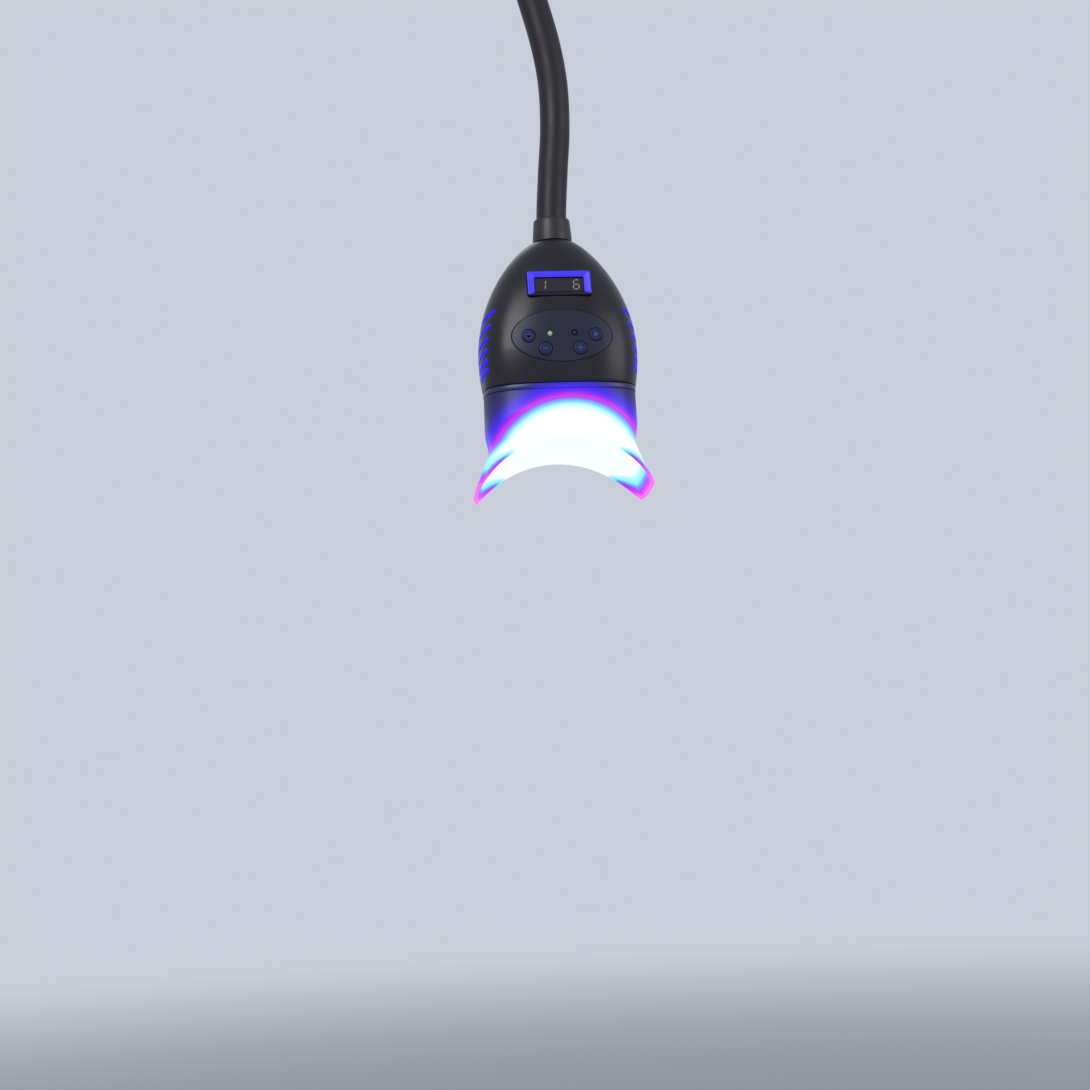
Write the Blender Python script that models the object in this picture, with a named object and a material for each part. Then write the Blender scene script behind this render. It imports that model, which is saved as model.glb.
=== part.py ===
"""Teeth whitening lamp: a hanging lamp head with a mouth guard, on a flexible neck.

Metres, +Z up. The origin is the centre of the stud's end face at the top of the neck,
where a stand or arm takes hold. The head hangs below it, display side towards -Y.
"""
import math

import bmesh
import bpy
from mathutils import Matrix, Vector

for stale in list(bpy.data.objects):
    bpy.data.objects.remove(stale, do_unlink=True)

# Shared clearances and finenesses
GAP = 0.0003
OVERRUN = 0.004
ROUND_SIDES = 20
SECTION_POINTS = 36
HOUSING_ROWS = 12
SMOOTH_ANGLE = math.radians(35)

# Fitting at the top of the neck
STUD_RADIUS = 0.005
STUD_LENGTH = 0.012
STUD_CHAMFER = 0.0008
LOCK_NUT_HEIGHT = 0.0045
LOCK_NUT_FLATS = 0.0075
FITTING_RADIUS = 0.0098
FITTING_LENGTH = 0.034
FITTING_CHAMFER = 0.0015
FITTING_HEAD = 0.008
SOCKET_DEPTH = 0.012
INLET_RADIUS = 0.0036
INLET_LENGTH = 0.0062
INLET_BORE = 0.0022
INLET_BORE_DEPTH = 0.0045
INLET_DROP = 0.0125

# Flexible neck
NECK_HEIGHT = 0.212
NECK_SWAY = 0.016
ROUTE_HEIGHT_SHARES = (0.0, 0.08, 0.19, 0.30, 0.41, 0.52, 0.62, 0.73, 0.84, 0.94, 1.0)
ROUTE_SWAY_SHARES = (0.0, 0.0, 0.08, 0.32, 0.70, 1.05, 1.235, 1.24, 1.11, 1.005, 1.0)
SLEEVE_RADIUS = 0.0075
SLEEVE_WALL = 0.0021
SLEEVE_EASE = 0.0005
CORE_RADIUS = 0.0047
CORE_BORE = 0.0025
CORE_HALF_GAP = 0.0016
HINGES = 6
LEAD_RADIUS = 0.0015
LEAD_TAIL = 0.008

# Collar and the nut that clamps it
COLLAR_HEIGHT = 0.012
COLLAR_TOP_RADIUS = 0.0091
COLLAR_FOOT_RADIUS = 0.0098
COLLAR_FLOOR = 0.0025
SPIGOT_RADIUS = 0.0073
SPIGOT_LENGTH = 0.012
NECK_NUT_FLATS = 0.0092
NECK_NUT_HEIGHT = 0.004
NECK_NUT_DROP = 0.0075
WASHER_RADIUS = 0.0095
WASHER_THICKNESS = 0.001

# Head housing
BODY_HALF_WIDTH = 0.0395
BODY_FRONT_DEPTH = 0.0262
BODY_REAR_DEPTH = 0.0225
BODY_LENGTH = 0.075
BODY_WIDEST_SHARE = 0.77333
BODY_WIDEST_DROP = BODY_LENGTH * BODY_WIDEST_SHARE
SHOULDER_SHARE = 0.77
NECK_ROUNDNESS_SHARE = 2.0
BODY_SQUARENESS_SHARE = 2.9
NOSE_TAPER = 0.0015
WALL = 0.002
SPLIT_GAP = 0.0003

# Display
DISPLAY_DROP_SHARE = 0.34133
DISPLAY_DROP = BODY_LENGTH * DISPLAY_DROP_SHARE
BEZEL_WIDTH_SHARE = 0.79
BEZEL_WIDTH = BODY_HALF_WIDTH * BEZEL_WIDTH_SHARE
BEZEL_HEIGHT_SHARE = 0.176
BEZEL_HEIGHT = BODY_LENGTH * BEZEL_HEIGHT_SHARE
BEZEL_DEPTH = 0.003
BEZEL_PROUD = 0.0006
BEZEL_STEP = 0.0012
WINDOW_FRAME_WIDTH = 0.00335
WINDOW_FRAME_HEIGHT = 0.0026
WINDOW_WIDTH = BEZEL_WIDTH - 2 * WINDOW_FRAME_WIDTH
WINDOW_HEIGHT = BEZEL_HEIGHT - 2 * WINDOW_FRAME_HEIGHT
WINDOW_RECESS = 0.0014
WINDOW_THICKNESS = 0.0012
MODULE_MARGIN = 0.0004
MODULE_WIDTH = WINDOW_WIDTH + 2 * MODULE_MARGIN
MODULE_HEIGHT = WINDOW_HEIGHT + 2 * MODULE_MARGIN
MODULE_DEPTH = 0.003

# Keypad
KEYPAD_DROP_SHARE = 0.696
KEYPAD_DROP = BODY_LENGTH * KEYPAD_DROP_SHARE
KEYPAD_WIDTH_SHARE = 0.6253
KEYPAD_HALF_WIDTH = BODY_HALF_WIDTH * KEYPAD_WIDTH_SHARE
KEYPAD_HEIGHT_SHARE = 0.17467
KEYPAD_HALF_HEIGHT = BODY_LENGTH * KEYPAD_HEIGHT_SHARE
KEYPAD_PROUD = 0.0003
KEYPAD_THICKNESS = 0.001
KEY_RADIUS = 0.0032
KEY_PROUD = 0.0007
KEY_CAP = 0.0024
KEY_STEM_RADIUS = 0.0014
KEY_TRAVEL = 0.0005
KEY_PLACE_SHARES = {
    "key_power": (-0.668, 0.0),
    "key_start": (0.668, 0.0),
    "key_minus": (-0.344, -0.504),
    "key_plus": (0.344, -0.504),
}
INDICATOR_RADIUS = 0.0012
INDICATOR_PROUD = 0.0005
INDICATOR_PLACE_SHARES = {"indicator_left": (-0.243, 0.076), "indicator_right": (0.243, 0.076)}

# Control board
BOARD_FRONT_SHARE = 0.51527
BOARD_FRONT = BODY_FRONT_DEPTH * BOARD_FRONT_SHARE
BOARD_THICKNESS = 0.0016
BOARD_WIDTH_SHARE = 0.4684
BOARD_HALF_WIDTH = BODY_HALF_WIDTH * BOARD_WIDTH_SHARE
BOARD_TOP_SHARE = 0.24667
BOARD_TOP_DROP = BODY_LENGTH * BOARD_TOP_SHARE
BOARD_BOTTOM_SHARE = 0.86
BOARD_BOTTOM_DROP = BODY_LENGTH * BOARD_BOTTOM_SHARE
SWITCH_SIDE = 0.006
SWITCH_HEIGHT = 0.0034
BUZZER_RADIUS = 0.006
BUZZER_HEIGHT = 0.0045
BUZZER_DROP_SHARE = 0.38667
BUZZER_DROP = BODY_LENGTH * BUZZER_DROP_SHARE
POST_RADIUS = 0.0024
POST_PLACE_SHARES = {1: (-0.367, 0.46), 2: (0.367, 0.46), 3: (-0.3924, 0.82), 4: (0.3924, 0.82)}
BOARD_SCREW_RADIUS = 0.0009
BOARD_SCREW_HEAD_RADIUS = 0.0018
BOARD_SCREW_HEAD = 0.0012
BOARD_SCREW_LENGTH = 0.006

# Screws that close the housing
BOSS_RADIUS = 0.0036
SCREW_RADIUS = 0.0012
SCREW_HEAD_RADIUS = 0.0024
SCREW_HEAD = 0.0016
SCREW_SINK = 0.0022
SCREW_REACH = 0.007
SCREW_PLACE_SHARES = {1: (-0.6456, 0.41333), 2: (0.6456, 0.41333), 3: (-0.77215, 0.82), 4: (0.77215, 0.82)}

# Side vents and rear exhaust
VENT_COUNT = 6
VENT_FIRST_SHARE = 0.496
VENT_FIRST_DROP = BODY_LENGTH * VENT_FIRST_SHARE
VENT_STEP_SHARE = 0.096
VENT_PITCH = BODY_LENGTH * VENT_STEP_SHARE
VENT_PITCH_SHARE = 0.89
VENT_WIDTH = 0.0018
VENT_FRONT_SHARE = 0.5916
VENT_FRONT = BODY_FRONT_DEPTH * VENT_FRONT_SHARE
VENT_REAR_SHARE = 0.09542
VENT_REAR = BODY_FRONT_DEPTH * VENT_REAR_SHARE
VENT_FALL_SHARE = 0.08267
VENT_FALL = BODY_LENGTH * VENT_FALL_SHARE
VENT_REACH = 0.0042
EXHAUST_COUNT = 5
EXHAUST_PITCH = 0.006
EXHAUST_WIDTH = 0.0022
EXHAUST_TOP_SHARE = 0.45333
EXHAUST_TOP_DROP = BODY_LENGTH * EXHAUST_TOP_SHARE
EXHAUST_LENGTH_SHARE = 0.25333
EXHAUST_LENGTH = BODY_LENGTH * EXHAUST_LENGTH_SHARE
EXHAUST_REACH = 0.0075

# Light engine
BARREL_UPSTAND = 0.0088
BARREL_TOP_DROP = BODY_LENGTH - BARREL_UPSTAND
BARREL_INSET = 0.0024
BARREL_WALL = 0.0017
FLANGE_HEIGHT = 0.0026
FLANGE_INSET = 0.0002
BARREL_NOSE = 0.008
HEAT_SINK_WIDTH_SHARE = 0.595
HEAT_SINK_HALF_WIDTH = BODY_HALF_WIDTH * HEAT_SINK_WIDTH_SHARE
HEAT_SINK_FRONT_SHARE = 0.336
HEAT_SINK_FRONT = BODY_FRONT_DEPTH * HEAT_SINK_FRONT_SHARE
HEAT_SINK_REAR_SHARE = 0.5778
HEAT_SINK_REAR = BODY_REAR_DEPTH * HEAT_SINK_REAR_SHARE
HEAT_SINK_BASE = 0.003
FIN_COUNT = 9
FIN_THICKNESS = 0.0016
FIN_HEIGHT = 0.0165
PAD_THICKNESS = 0.0007
LED_BOARD_THICKNESS = 0.0016
LED_RADIUS = 0.0026
LED_HEIGHT = 0.0024
LED_COLUMNS = 3
LED_ROWS = 2
LED_COLUMN_SHARE = 0.443
LED_COLUMN_PITCH = BODY_HALF_WIDTH * LED_COLUMN_SHARE
LED_ROW_SHARE = 0.2977
LED_ROW_PITCH = (BODY_FRONT_DEPTH + BODY_REAR_DEPTH) * LED_ROW_SHARE
REFLECTOR_THICKNESS = 0.0055
REFLECTOR_THROAT = 0.0036
REFLECTOR_MOUTH = 0.0062
LENS_THICKNESS = 0.0016

# Fan
FAN_HALF_SIDE = 0.0125
FAN_LEAN = 0.0013
FAN_CENTRE_REAR = (BODY_REAR_DEPTH - WALL - BOARD_FRONT + BOARD_THICKNESS) / 2 - FAN_LEAN
FAN_HEIGHT = 0.008
FAN_BORE = 0.0113
FAN_CORNER = 0.0015
ROTOR_RADIUS = 0.0105
HUB_RADIUS = 0.0046
HUB_HEIGHT = 0.0055
BLADE_COUNT = 7
BLADE_THICKNESS = 0.0008
BLADE_HEIGHT = 0.0042
BLADE_TWIST = math.radians(38)
STRUT_COUNT = 4
STRUT_WIDTH = 0.0018
STRUT_THICKNESS = 0.0011

# Mouth guard
GUARD_WALL = 0.0017
GUARD_LENGTH = 0.0297
GUARD_APEX_DROP = BODY_LENGTH + GUARD_LENGTH
GUARD_SPREAD = 0.0047
GUARD_RIM_HALF_WIDTH = BODY_HALF_WIDTH + GUARD_SPREAD
GUARD_RIM_LEAN = 0.0006
GUARD_RIM_FRONT = BODY_FRONT_DEPTH + GUARD_RIM_LEAN
GUARD_RIM_SWEEP = 0.007
GUARD_RIM_REAR = BODY_REAR_DEPTH + GUARD_RIM_SWEEP
GUARD_RIM_TILT_SHARE = 0.1
GUARD_FRONT_LIFT = GUARD_RIM_FRONT * GUARD_RIM_TILT_SHARE
GUARD_ARCH_SHARE = 1.156
GUARD_ARCH_RADIUS = GUARD_RIM_HALF_WIDTH * GUARD_ARCH_SHARE
GUARD_TIP_FALL_SHARE = 0.42
GUARD_TIP_FALL = GUARD_ARCH_RADIUS * GUARD_TIP_FALL_SHARE
GUARD_WAIST_INSET = 0.0014
GUARD_FLARE_SHARE = 0.56
GUARD_SQUARENESS_SHARE = 4.5
GUARD_FLARE_POWER_SHARE = 1.15
GUARD_ROWS = 12

# Places worked out from the sizes above
def places(shares, across, along):
    return {name: (x * across, z * along) for name, (x, z) in shares.items()}


KEY_PLACES = places(KEY_PLACE_SHARES, KEYPAD_HALF_WIDTH, KEYPAD_HALF_HEIGHT)
INDICATOR_PLACES = places(INDICATOR_PLACE_SHARES, KEYPAD_HALF_WIDTH, KEYPAD_HALF_HEIGHT)
POST_PLACES = places(POST_PLACE_SHARES, BODY_HALF_WIDTH, BODY_LENGTH)
SCREW_PLACES = places(SCREW_PLACE_SHARES, BODY_HALF_WIDTH, BODY_LENGTH)
NECK_TOP = -(STUD_LENGTH + FITTING_LENGTH - SOCKET_DEPTH)
NECK_FOOT = NECK_TOP - NECK_HEIGHT
HEAD_TOP = NECK_FOOT - COLLAR_FLOOR
HEAD = Vector((NECK_SWAY, 0.0, HEAD_TOP))
BARREL_FOOT_DROP = BODY_LENGTH + GAP + FLANGE_HEIGHT + BARREL_NOSE
GUARD_TOP_DROP = BODY_LENGTH + GAP + FLANGE_HEIGHT + GAP


# Materials
def material(name, colour, roughness, metallic=0.0, alpha=1.0, glow=None):
    made = bpy.data.materials.new(name)
    made.use_nodes = True
    shader = made.node_tree.nodes["Principled BSDF"]
    shader.inputs["Base Color"].default_value = (*colour, 1.0)
    shader.inputs["Roughness"].default_value = roughness
    shader.inputs["Metallic"].default_value = metallic
    shader.inputs["Alpha"].default_value = alpha
    if glow:
        shader.inputs["Emission Color"].default_value = (*glow, 1.0)
        shader.inputs["Emission Strength"].default_value = 1.0
    made.diffuse_color = (*colour, alpha)
    return made


SHELL = material("graphite_abs", (0.016, 0.012, 0.024), 0.32)
LIT_FRAME = material("lit_blue_abs", (0.09, 0.05, 0.75), 0.35, 0.0, 1.0, (0.04, 0.015, 0.7))
MEMBRANE = material("navy_membrane", (0.003, 0.005, 0.045), 0.35)
KEYCAP = material("navy_keycap", (0.004, 0.007, 0.08), 0.4)
SMOKED = material("smoked_window", (0.01, 0.01, 0.02), 0.08)
DARK = material("black_plastic", (0.03, 0.03, 0.035), 0.45)
SLEEVE = material("neck_sleeve", (0.03, 0.03, 0.04), 0.5)
CHROME = material("nickel_plate", (0.72, 0.73, 0.75), 0.22, 1.0)
STEEL = material("steel", (0.5, 0.5, 0.52), 0.35, 1.0)
ALUMINIUM = material("aluminium", (0.75, 0.76, 0.78), 0.35, 1.0)
BOARD = material("board_laminate", (0.02, 0.2, 0.1), 0.5)
MIRROR = material("reflector_plate", (0.85, 0.86, 0.88), 0.12, 1.0)
CLEAR = material("clear_lens", (0.85, 0.92, 1.0), 0.05, 0.0, 0.4)
LIGHT = material("blue_emitter", (0.3, 0.6, 1.0), 0.2, 0.0, 1.0, (0.1, 0.35, 1.0))
GUARD = material("milky_guard", (0.75, 0.88, 1.0), 0.3, 0.0, 0.8)
PAD = material("thermal_pad", (0.55, 0.6, 0.62), 0.8)
RUBBER = material("rubber", (0.04, 0.04, 0.04), 0.7)


# Mesh helpers
def empty(name, place, turn=Matrix.Identity(4), parent=None):
    made = bpy.data.objects.new(name, None)
    bpy.context.scene.collection.objects.link(made)
    made.parent = parent
    made.matrix_local = Matrix.Translation(place) @ turn
    return made


def solid(name, points, faces, finish, parent=None, place=(0, 0, 0), smooth=True):
    """One object from points and faces, with its faces turned outwards."""
    mesh = bpy.data.meshes.new(name)
    mesh.from_pydata([tuple(p) for p in points], [], faces)
    shape = bmesh.new()
    shape.from_mesh(mesh)
    bmesh.ops.recalc_face_normals(shape, faces=shape.faces)
    shape.to_mesh(mesh)
    shape.free()
    made = bpy.data.objects.new(name, mesh)
    bpy.context.scene.collection.objects.link(made)
    made.parent = parent
    made.location = place
    if finish:
        mesh.materials.append(finish)
    if smooth:
        mesh.shade_smooth()
        mesh.set_sharp_from_angle(angle=SMOOTH_ANGLE)
    return made


def ring_faces(rings, sides, wrap):
    """Four-sided faces between neighbouring rings; wrap joins the last ring to the first."""
    pairs = [(k, k + 1) for k in range(rings - 1)]
    if wrap:
        pairs.append((rings - 1, 0))
    faces = []
    for low, high in pairs:
        for k in range(sides):
            after = (k + 1) % sides
            faces.append((low * sides + k, low * sides + after, high * sides + after, high * sides + k))
    return faces


def capped(name, rings, finish, **where):
    """A solid lofted through rings, closed by a flat cap at each end."""
    sides = len(rings[0])
    faces = ring_faces(len(rings), sides, False)
    faces.append(tuple(range(sides)))
    faces.append(tuple(range((len(rings) - 1) * sides, len(rings) * sides)))
    return solid(name, [p for ring in rings for p in ring], faces, finish, **where)


def hollow(name, rings, finish, **where):
    """A closed ring-shaped wall: out along one surface and back along the other."""
    faces = ring_faces(len(rings), len(rings[0]), True)
    return solid(name, [p for ring in rings for p in ring], faces, finish, **where)


def circle(radius, height, sides=ROUND_SIDES):
    angles = [2 * math.pi * k / sides for k in range(sides)]
    return [Vector((radius * math.cos(a), radius * math.sin(a), height)) for a in angles]


def polygon(apothem, corners, height, points):
    """A regular polygon's outline as many points, so that it lofts to a circle."""
    outline = []
    for k in range(points):
        angle = 2 * math.pi * k / points
        off = (angle + math.pi / corners) % (2 * math.pi / corners) - math.pi / corners
        radius = apothem / math.cos(off)
        outline.append(Vector((radius * math.cos(angle), radius * math.sin(angle), height)))
    return outline


def turned(name, profile, finish, **where):
    """A solid of revolution about Z, its profile listed from one end to the other."""
    return capped(name, [circle(r, z) for r, z in profile], finish, **where)


def turned_ring(name, profile, finish, **where):
    """A ring of revolution about Z from a closed profile."""
    return hollow(name, [circle(r, z) for r, z in profile], finish, **where)


def block(name, low, high, finish, **where):
    x, y, z = zip(low, high)
    points = [(x[i], y[j], z[k]) for k in (0, 1) for j in (0, 1) for i in (0, 1)]
    faces = [(0, 1, 3, 2), (4, 5, 7, 6), (0, 1, 5, 4), (2, 3, 7, 6), (0, 2, 6, 4), (1, 3, 7, 5)]
    return solid(name, points, faces, finish, smooth=False, **where)


def joined(name, objects):
    """Several shapes as one object, with their places in the mesh."""
    bpy.context.view_layer.update()
    mesh = bpy.data.meshes.new(name)
    shape = bmesh.new()
    for source in objects:
        copy = source.data.copy()
        copy.transform(source.matrix_world)
        shape.from_mesh(copy)
        bpy.data.objects.remove(source, do_unlink=True)
    shape.to_mesh(mesh)
    shape.free()
    made = bpy.data.objects.new(name, mesh)
    bpy.context.scene.collection.objects.link(made)
    return made


def combine(target, tool, operation):
    """A live Boolean; its tool is a guide that is left out of the build."""
    tool.hide_render = True
    tool.display_type = "WIRE"
    step = target.modifiers.new(operation.lower() + "_" + tool.name, "BOOLEAN")
    step.operation = operation
    step.solver = "EXACT"
    step.object = tool
    return target


# The head's outer form
def swell(drop, at_neck, full):
    """Half size at a drop below the collar: grows over the shoulder, then holds."""
    rise = max(0.0, 1 - max(0.0, (BODY_WIDEST_DROP - drop) / BODY_WIDEST_DROP) ** 2)
    return at_neck + (full - at_neck) * rise ** SHOULDER_SHARE


def taper(drop):
    past = max(0.0, drop - BODY_WIDEST_DROP) / (BODY_LENGTH - BODY_WIDEST_DROP)
    return NOSE_TAPER * min(past, 1.0) ** 2


def half_sizes(drop):
    """Half width, depth to the front, depth to the rear and squareness of a cross-section."""
    width = swell(drop, COLLAR_FOOT_RADIUS, BODY_HALF_WIDTH) - taper(drop)
    front = swell(drop, COLLAR_FOOT_RADIUS, BODY_FRONT_DEPTH) - taper(drop)
    rear = swell(drop, COLLAR_FOOT_RADIUS, BODY_REAR_DEPTH) - taper(drop)
    change = min(drop / BODY_WIDEST_DROP, 1.0)
    square = NECK_ROUNDNESS_SHARE + (BODY_SQUARENESS_SHARE - NECK_ROUNDNESS_SHARE) * change
    return width, front, rear, square


def outline(width, front, rear, square, angle):
    """A point of a rounded outline; angle 0 is +X and a quarter turn is the front."""
    c, s = math.cos(angle), math.sin(angle)
    x = width * math.copysign(abs(c) ** (2 / square), c)
    depth = front if s > 0 else rear
    return x, -depth * math.copysign(abs(s) ** (2 / square), s)


def body_point(angle, drop, inset):
    width, front, rear, square = half_sizes(drop)
    x, y = outline(width - inset, front - inset, rear - inset, square, angle)
    return Vector((x, y, -drop))


def body_ring(drop, inset):
    turns = [2 * math.pi * k / SECTION_POINTS for k in range(SECTION_POINTS)]
    return [body_point(a, drop, inset) for a in turns]


def nose_ring(drop, inset):
    """The nose's section, carried straight on at any drop."""
    return [Vector((p.x, p.y, -drop)) for p in body_ring(BODY_LENGTH, inset)]


def front_y(x, drop, inset=0.0):
    """Where the front surface stands at x."""
    width, front, _, square = half_sizes(drop)
    share = min(abs(x) / (width - inset), 1.0)
    return -(front - inset) * (1 - share ** square) ** (1 / square)


def rear_y(x, drop, inset=0.0):
    width, _, rear, square = half_sizes(drop)
    share = min(abs(x) / (width - inset), 1.0)
    return (rear - inset) * (1 - share ** square) ** (1 / square)


def row_drops():
    """Heights of the housing's cross-sections, closer together over the shoulder."""
    return [BODY_LENGTH * share ** 1.6 for share in (k / HOUSING_ROWS for k in range(HOUSING_ROWS + 1))]


head = empty("head_frame", HEAD)


def half_housing(name, start, finish):
    """Half of the shell, from the split plane round the front or the rear and back."""
    steps = SECTION_POINTS // 2
    turns = [start + math.pi * k / steps for k in range(steps + 1)]
    away = -1 if start == 0 else 1
    drops = row_drops()

    def at(angle, drop, inset):
        point = body_point(angle, drop, inset)
        point.y = min(point.y, -SPLIT_GAP / 2) if away < 0 else max(point.y, SPLIT_GAP / 2)
        return point

    outer = [[at(a, d, 0.0) for a in turns] for d in drops]
    inner = [[at(a, d, WALL) for a in turns] for d in drops]
    points, columns = [], len(turns)
    for layer in (outer, inner):
        for row in layer:
            points.extend(row)
    shift = len(drops) * columns
    faces = []
    for r in range(len(drops) - 1):
        for c in range(columns - 1):
            a = r * columns + c
            quad = (a, a + 1, a + 1 + columns, a + columns)
            faces.append(quad)
            faces.append(tuple(v + shift for v in reversed(quad)))
    for r in range(len(drops) - 1):
        for c in (0, columns - 1):
            a = r * columns + c
            faces.append((a, a + columns, a + columns + shift, a + shift))
    for c in range(columns - 1):
        for r in (0, len(drops) - 1):
            a = r * columns + c
            faces.append((a, a + 1, a + 1 + shift, a + shift))
    return solid(name, points, faces, finish, parent=head)


def upright(radius, low, high, x, drop, name, sides=20):
    """A cylinder along Y in the head, from y low to y high."""
    rings = []
    for y in (low, high):
        ring = []
        for p in circle(radius, 0.0, sides):
            ring.append(Vector((x + p.x, y, -drop + p.y)))
        rings.append(ring)
    return capped(name, rings, None, parent=head)


def bosses(housing, name, places, radius, low, high):
    """Posts that grow from a housing's wall, clipped so that they never pierce its skin."""
    made = [upright(radius, low, high, x, drop, name + str(k)) for k, (x, drop) in places.items()]
    posts = joined(name, made)
    skin = capped(name + "_skin", [body_ring(d, WALL / 3) for d in row_drops()], None, parent=head)
    combine(posts, skin, "INTERSECT")
    combine(housing, posts, "UNION")


def surface_patch(name, half_width, half_height, proud, depth, finish):
    """An oval slab that follows the front surface at the keypad."""
    circles, around = 3, 28
    layers = []
    for inset in (-proud, depth):
        points = [Vector((0.0, front_y(0.0, KEYPAD_DROP, inset), -KEYPAD_DROP))]
        for ring in range(1, circles + 1):
            for k in range(around):
                angle = 2 * math.pi * k / around
                x = half_width * ring / circles * math.cos(angle)
                rise = half_height * ring / circles * math.sin(angle)
                points.append(Vector((x, front_y(x, KEYPAD_DROP - rise, inset), rise - KEYPAD_DROP)))
        layers.append(points)
    count = len(layers[0])
    faces = []
    for base in (0, count):
        for k in range(around):
            after = (k + 1) % around
            faces.append((base, base + 1 + k, base + 1 + after))
            for ring in range(circles - 1):
                a = base + 1 + ring * around
                faces.append((a + k, a + after, a + around + after, a + around + k))
    edge = 1 + (circles - 1) * around
    for k in range(around):
        after = (k + 1) % around
        faces.append((edge + k, edge + after, count + edge + after, count + edge + k))
    return solid(name, layers[0] + layers[1], faces, finish, parent=head)


# Neck route
def route_points():
    """The neck's centre line from its top down, as places on one smooth curve."""
    return [
        Vector((NECK_SWAY * sway, 0.0, NECK_TOP - NECK_HEIGHT * fall))
        for fall, sway in zip(ROUTE_HEIGHT_SHARES, ROUTE_SWAY_SHARES)
    ]


def smooth_curve(through, steps):
    """Catmull-Rom curve through the points, with straight ends."""
    ends = [2 * through[0] - through[1], *through, 2 * through[-1] - through[-2]]
    line = []
    for k in range(1, len(ends) - 2):
        a, b, c, d = ends[k - 1 : k + 3]
        for step in range(steps):
            t = step / steps
            line.append(0.5 * (2 * b + (c - a) * t + (2 * a - 5 * b + 4 * c - d) * t**2
                               + (3 * b - a - 3 * c + d) * t**3))
    line.append(through[-1].copy())
    return line


ROUTE = smooth_curve(route_points(), 12)
REACHES = [0.0]
for before, after in zip(ROUTE, ROUTE[1:]):
    REACHES.append(REACHES[-1] + (after - before).length)
ROUTE_LENGTH = REACHES[-1]


def route_at(reach):
    """Place on the route at a length from its top; past either end it runs straight down."""
    if reach <= 0:
        return ROUTE[0] + Vector((0, 0, -reach))
    if reach >= ROUTE_LENGTH:
        return ROUTE[-1] - Vector((0, 0, reach - ROUTE_LENGTH))
    k = next(k for k in range(1, len(REACHES)) if REACHES[k] >= reach)
    share = (reach - REACHES[k - 1]) / (REACHES[k] - REACHES[k - 1])
    return ROUTE[k - 1].lerp(ROUTE[k], share)


def ring_on_route(reach, radius, sides):
    step = NECK_HEIGHT / 100
    along = (route_at(reach + step) - route_at(reach - step)).normalized()
    side = Vector((0, 1, 0)).cross(along).normalized()
    middle = route_at(reach)
    turns = [2 * math.pi * k / sides for k in range(sides)]
    return [middle + radius * (math.cos(a) * side + math.sin(a) * Vector((0, 1, 0))) for a in turns]


def tube_on_route(name, start, end, outside, bore, count, sides, finish):
    reaches = [start + (end - start) * k / (count - 1) for k in range(count)]
    rings = [ring_on_route(s, outside, sides) for s in reaches]
    if not bore:
        return capped(name, rings, finish)
    rings += [ring_on_route(s, bore, sides) for s in reversed(reaches)]
    return hollow(name, rings, finish)


# Flexible neck: seven core pieces with a hinge between each pair, in one sleeve
HINGE_SPACING = ROUTE_LENGTH / HINGES
HINGE_REACHES = [HINGE_SPACING * (k + 0.5) for k in range(HINGES)]
CORE_TOP = -(FITTING_LENGTH - SOCKET_DEPTH - FITTING_HEAD) + GAP
CORE_FOOT = ROUTE_LENGTH + COLLAR_FLOOR + SPIGOT_LENGTH


def flexible_neck():
    ends = [CORE_TOP, *HINGE_REACHES, CORE_FOOT]
    for k in range(HINGES + 1):
        start = ends[k] + (CORE_HALF_GAP if k else 0.0)
        end = ends[k + 1] - (CORE_HALF_GAP if k < HINGES else 0.0)
        name = f"gooseneck_core_{k + 1}"
        tube_on_route(name, start, end, CORE_RADIUS, CORE_BORE, 5, 10, STEEL)
    tube_on_route("neck_sleeve", GAP, ROUTE_LENGTH - GAP, SLEEVE_RADIUS,
                  SLEEVE_RADIUS - SLEEVE_WALL, 24, 14, SLEEVE)
    lead_start = CORE_TOP + INLET_DROP - FITTING_HEAD
    tube_on_route("supply_lead", lead_start, CORE_FOOT + LEAD_TAIL, LEAD_RADIUS, 0.0, 26, 6, RUBBER)
    for k, reach in enumerate(HINGE_REACHES):
        place = route_at(reach)
        print(f"hinge {k + 1} at {place.x:.6f} {place.y:.6f} {place.z:.6f}")


def end_fitting():
    """The turned ferrule with its stud, its socket for the sleeve and its side inlet."""
    shoulder = -STUD_LENGTH
    foot = shoulder - FITTING_LENGTH
    socket = foot + SOCKET_DEPTH
    inner = CORE_RADIUS + GAP
    roof = shoulder - FITTING_HEAD
    profile = [
        (STUD_RADIUS - STUD_CHAMFER, 0.0),
        (STUD_RADIUS, -STUD_CHAMFER),
        (STUD_RADIUS, shoulder),
        (FITTING_RADIUS - FITTING_CHAMFER, shoulder),
        (FITTING_RADIUS, shoulder - FITTING_CHAMFER),
        (FITTING_RADIUS, foot + FITTING_CHAMFER),
        (FITTING_RADIUS - FITTING_CHAMFER / 2, foot),
        (SLEEVE_RADIUS + SLEEVE_EASE, foot),
        (SLEEVE_RADIUS + SLEEVE_EASE, socket),
        (inner, socket),
        (inner, roof),
    ]
    fitting = turned("end_fitting", profile, CHROME)
    along_y = Matrix.Rotation(-math.pi / 2, 4, "X")
    seat = empty("inlet_seat", (0.0, inner, shoulder - INLET_DROP), along_y)
    hole = turned("inlet_hole", [(INLET_RADIUS + GAP, -inner), (INLET_RADIUS + GAP, FITTING_RADIUS)],
                  None, parent=seat)
    combine(fitting, hole, "DIFFERENCE")
    reach = INLET_LENGTH
    turned("power_inlet", [
        (INLET_RADIUS, GAP),
        (INLET_RADIUS, reach),
        (INLET_BORE, reach),
        (INLET_BORE, reach - INLET_BORE_DEPTH),
    ], DARK, parent=seat)


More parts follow.
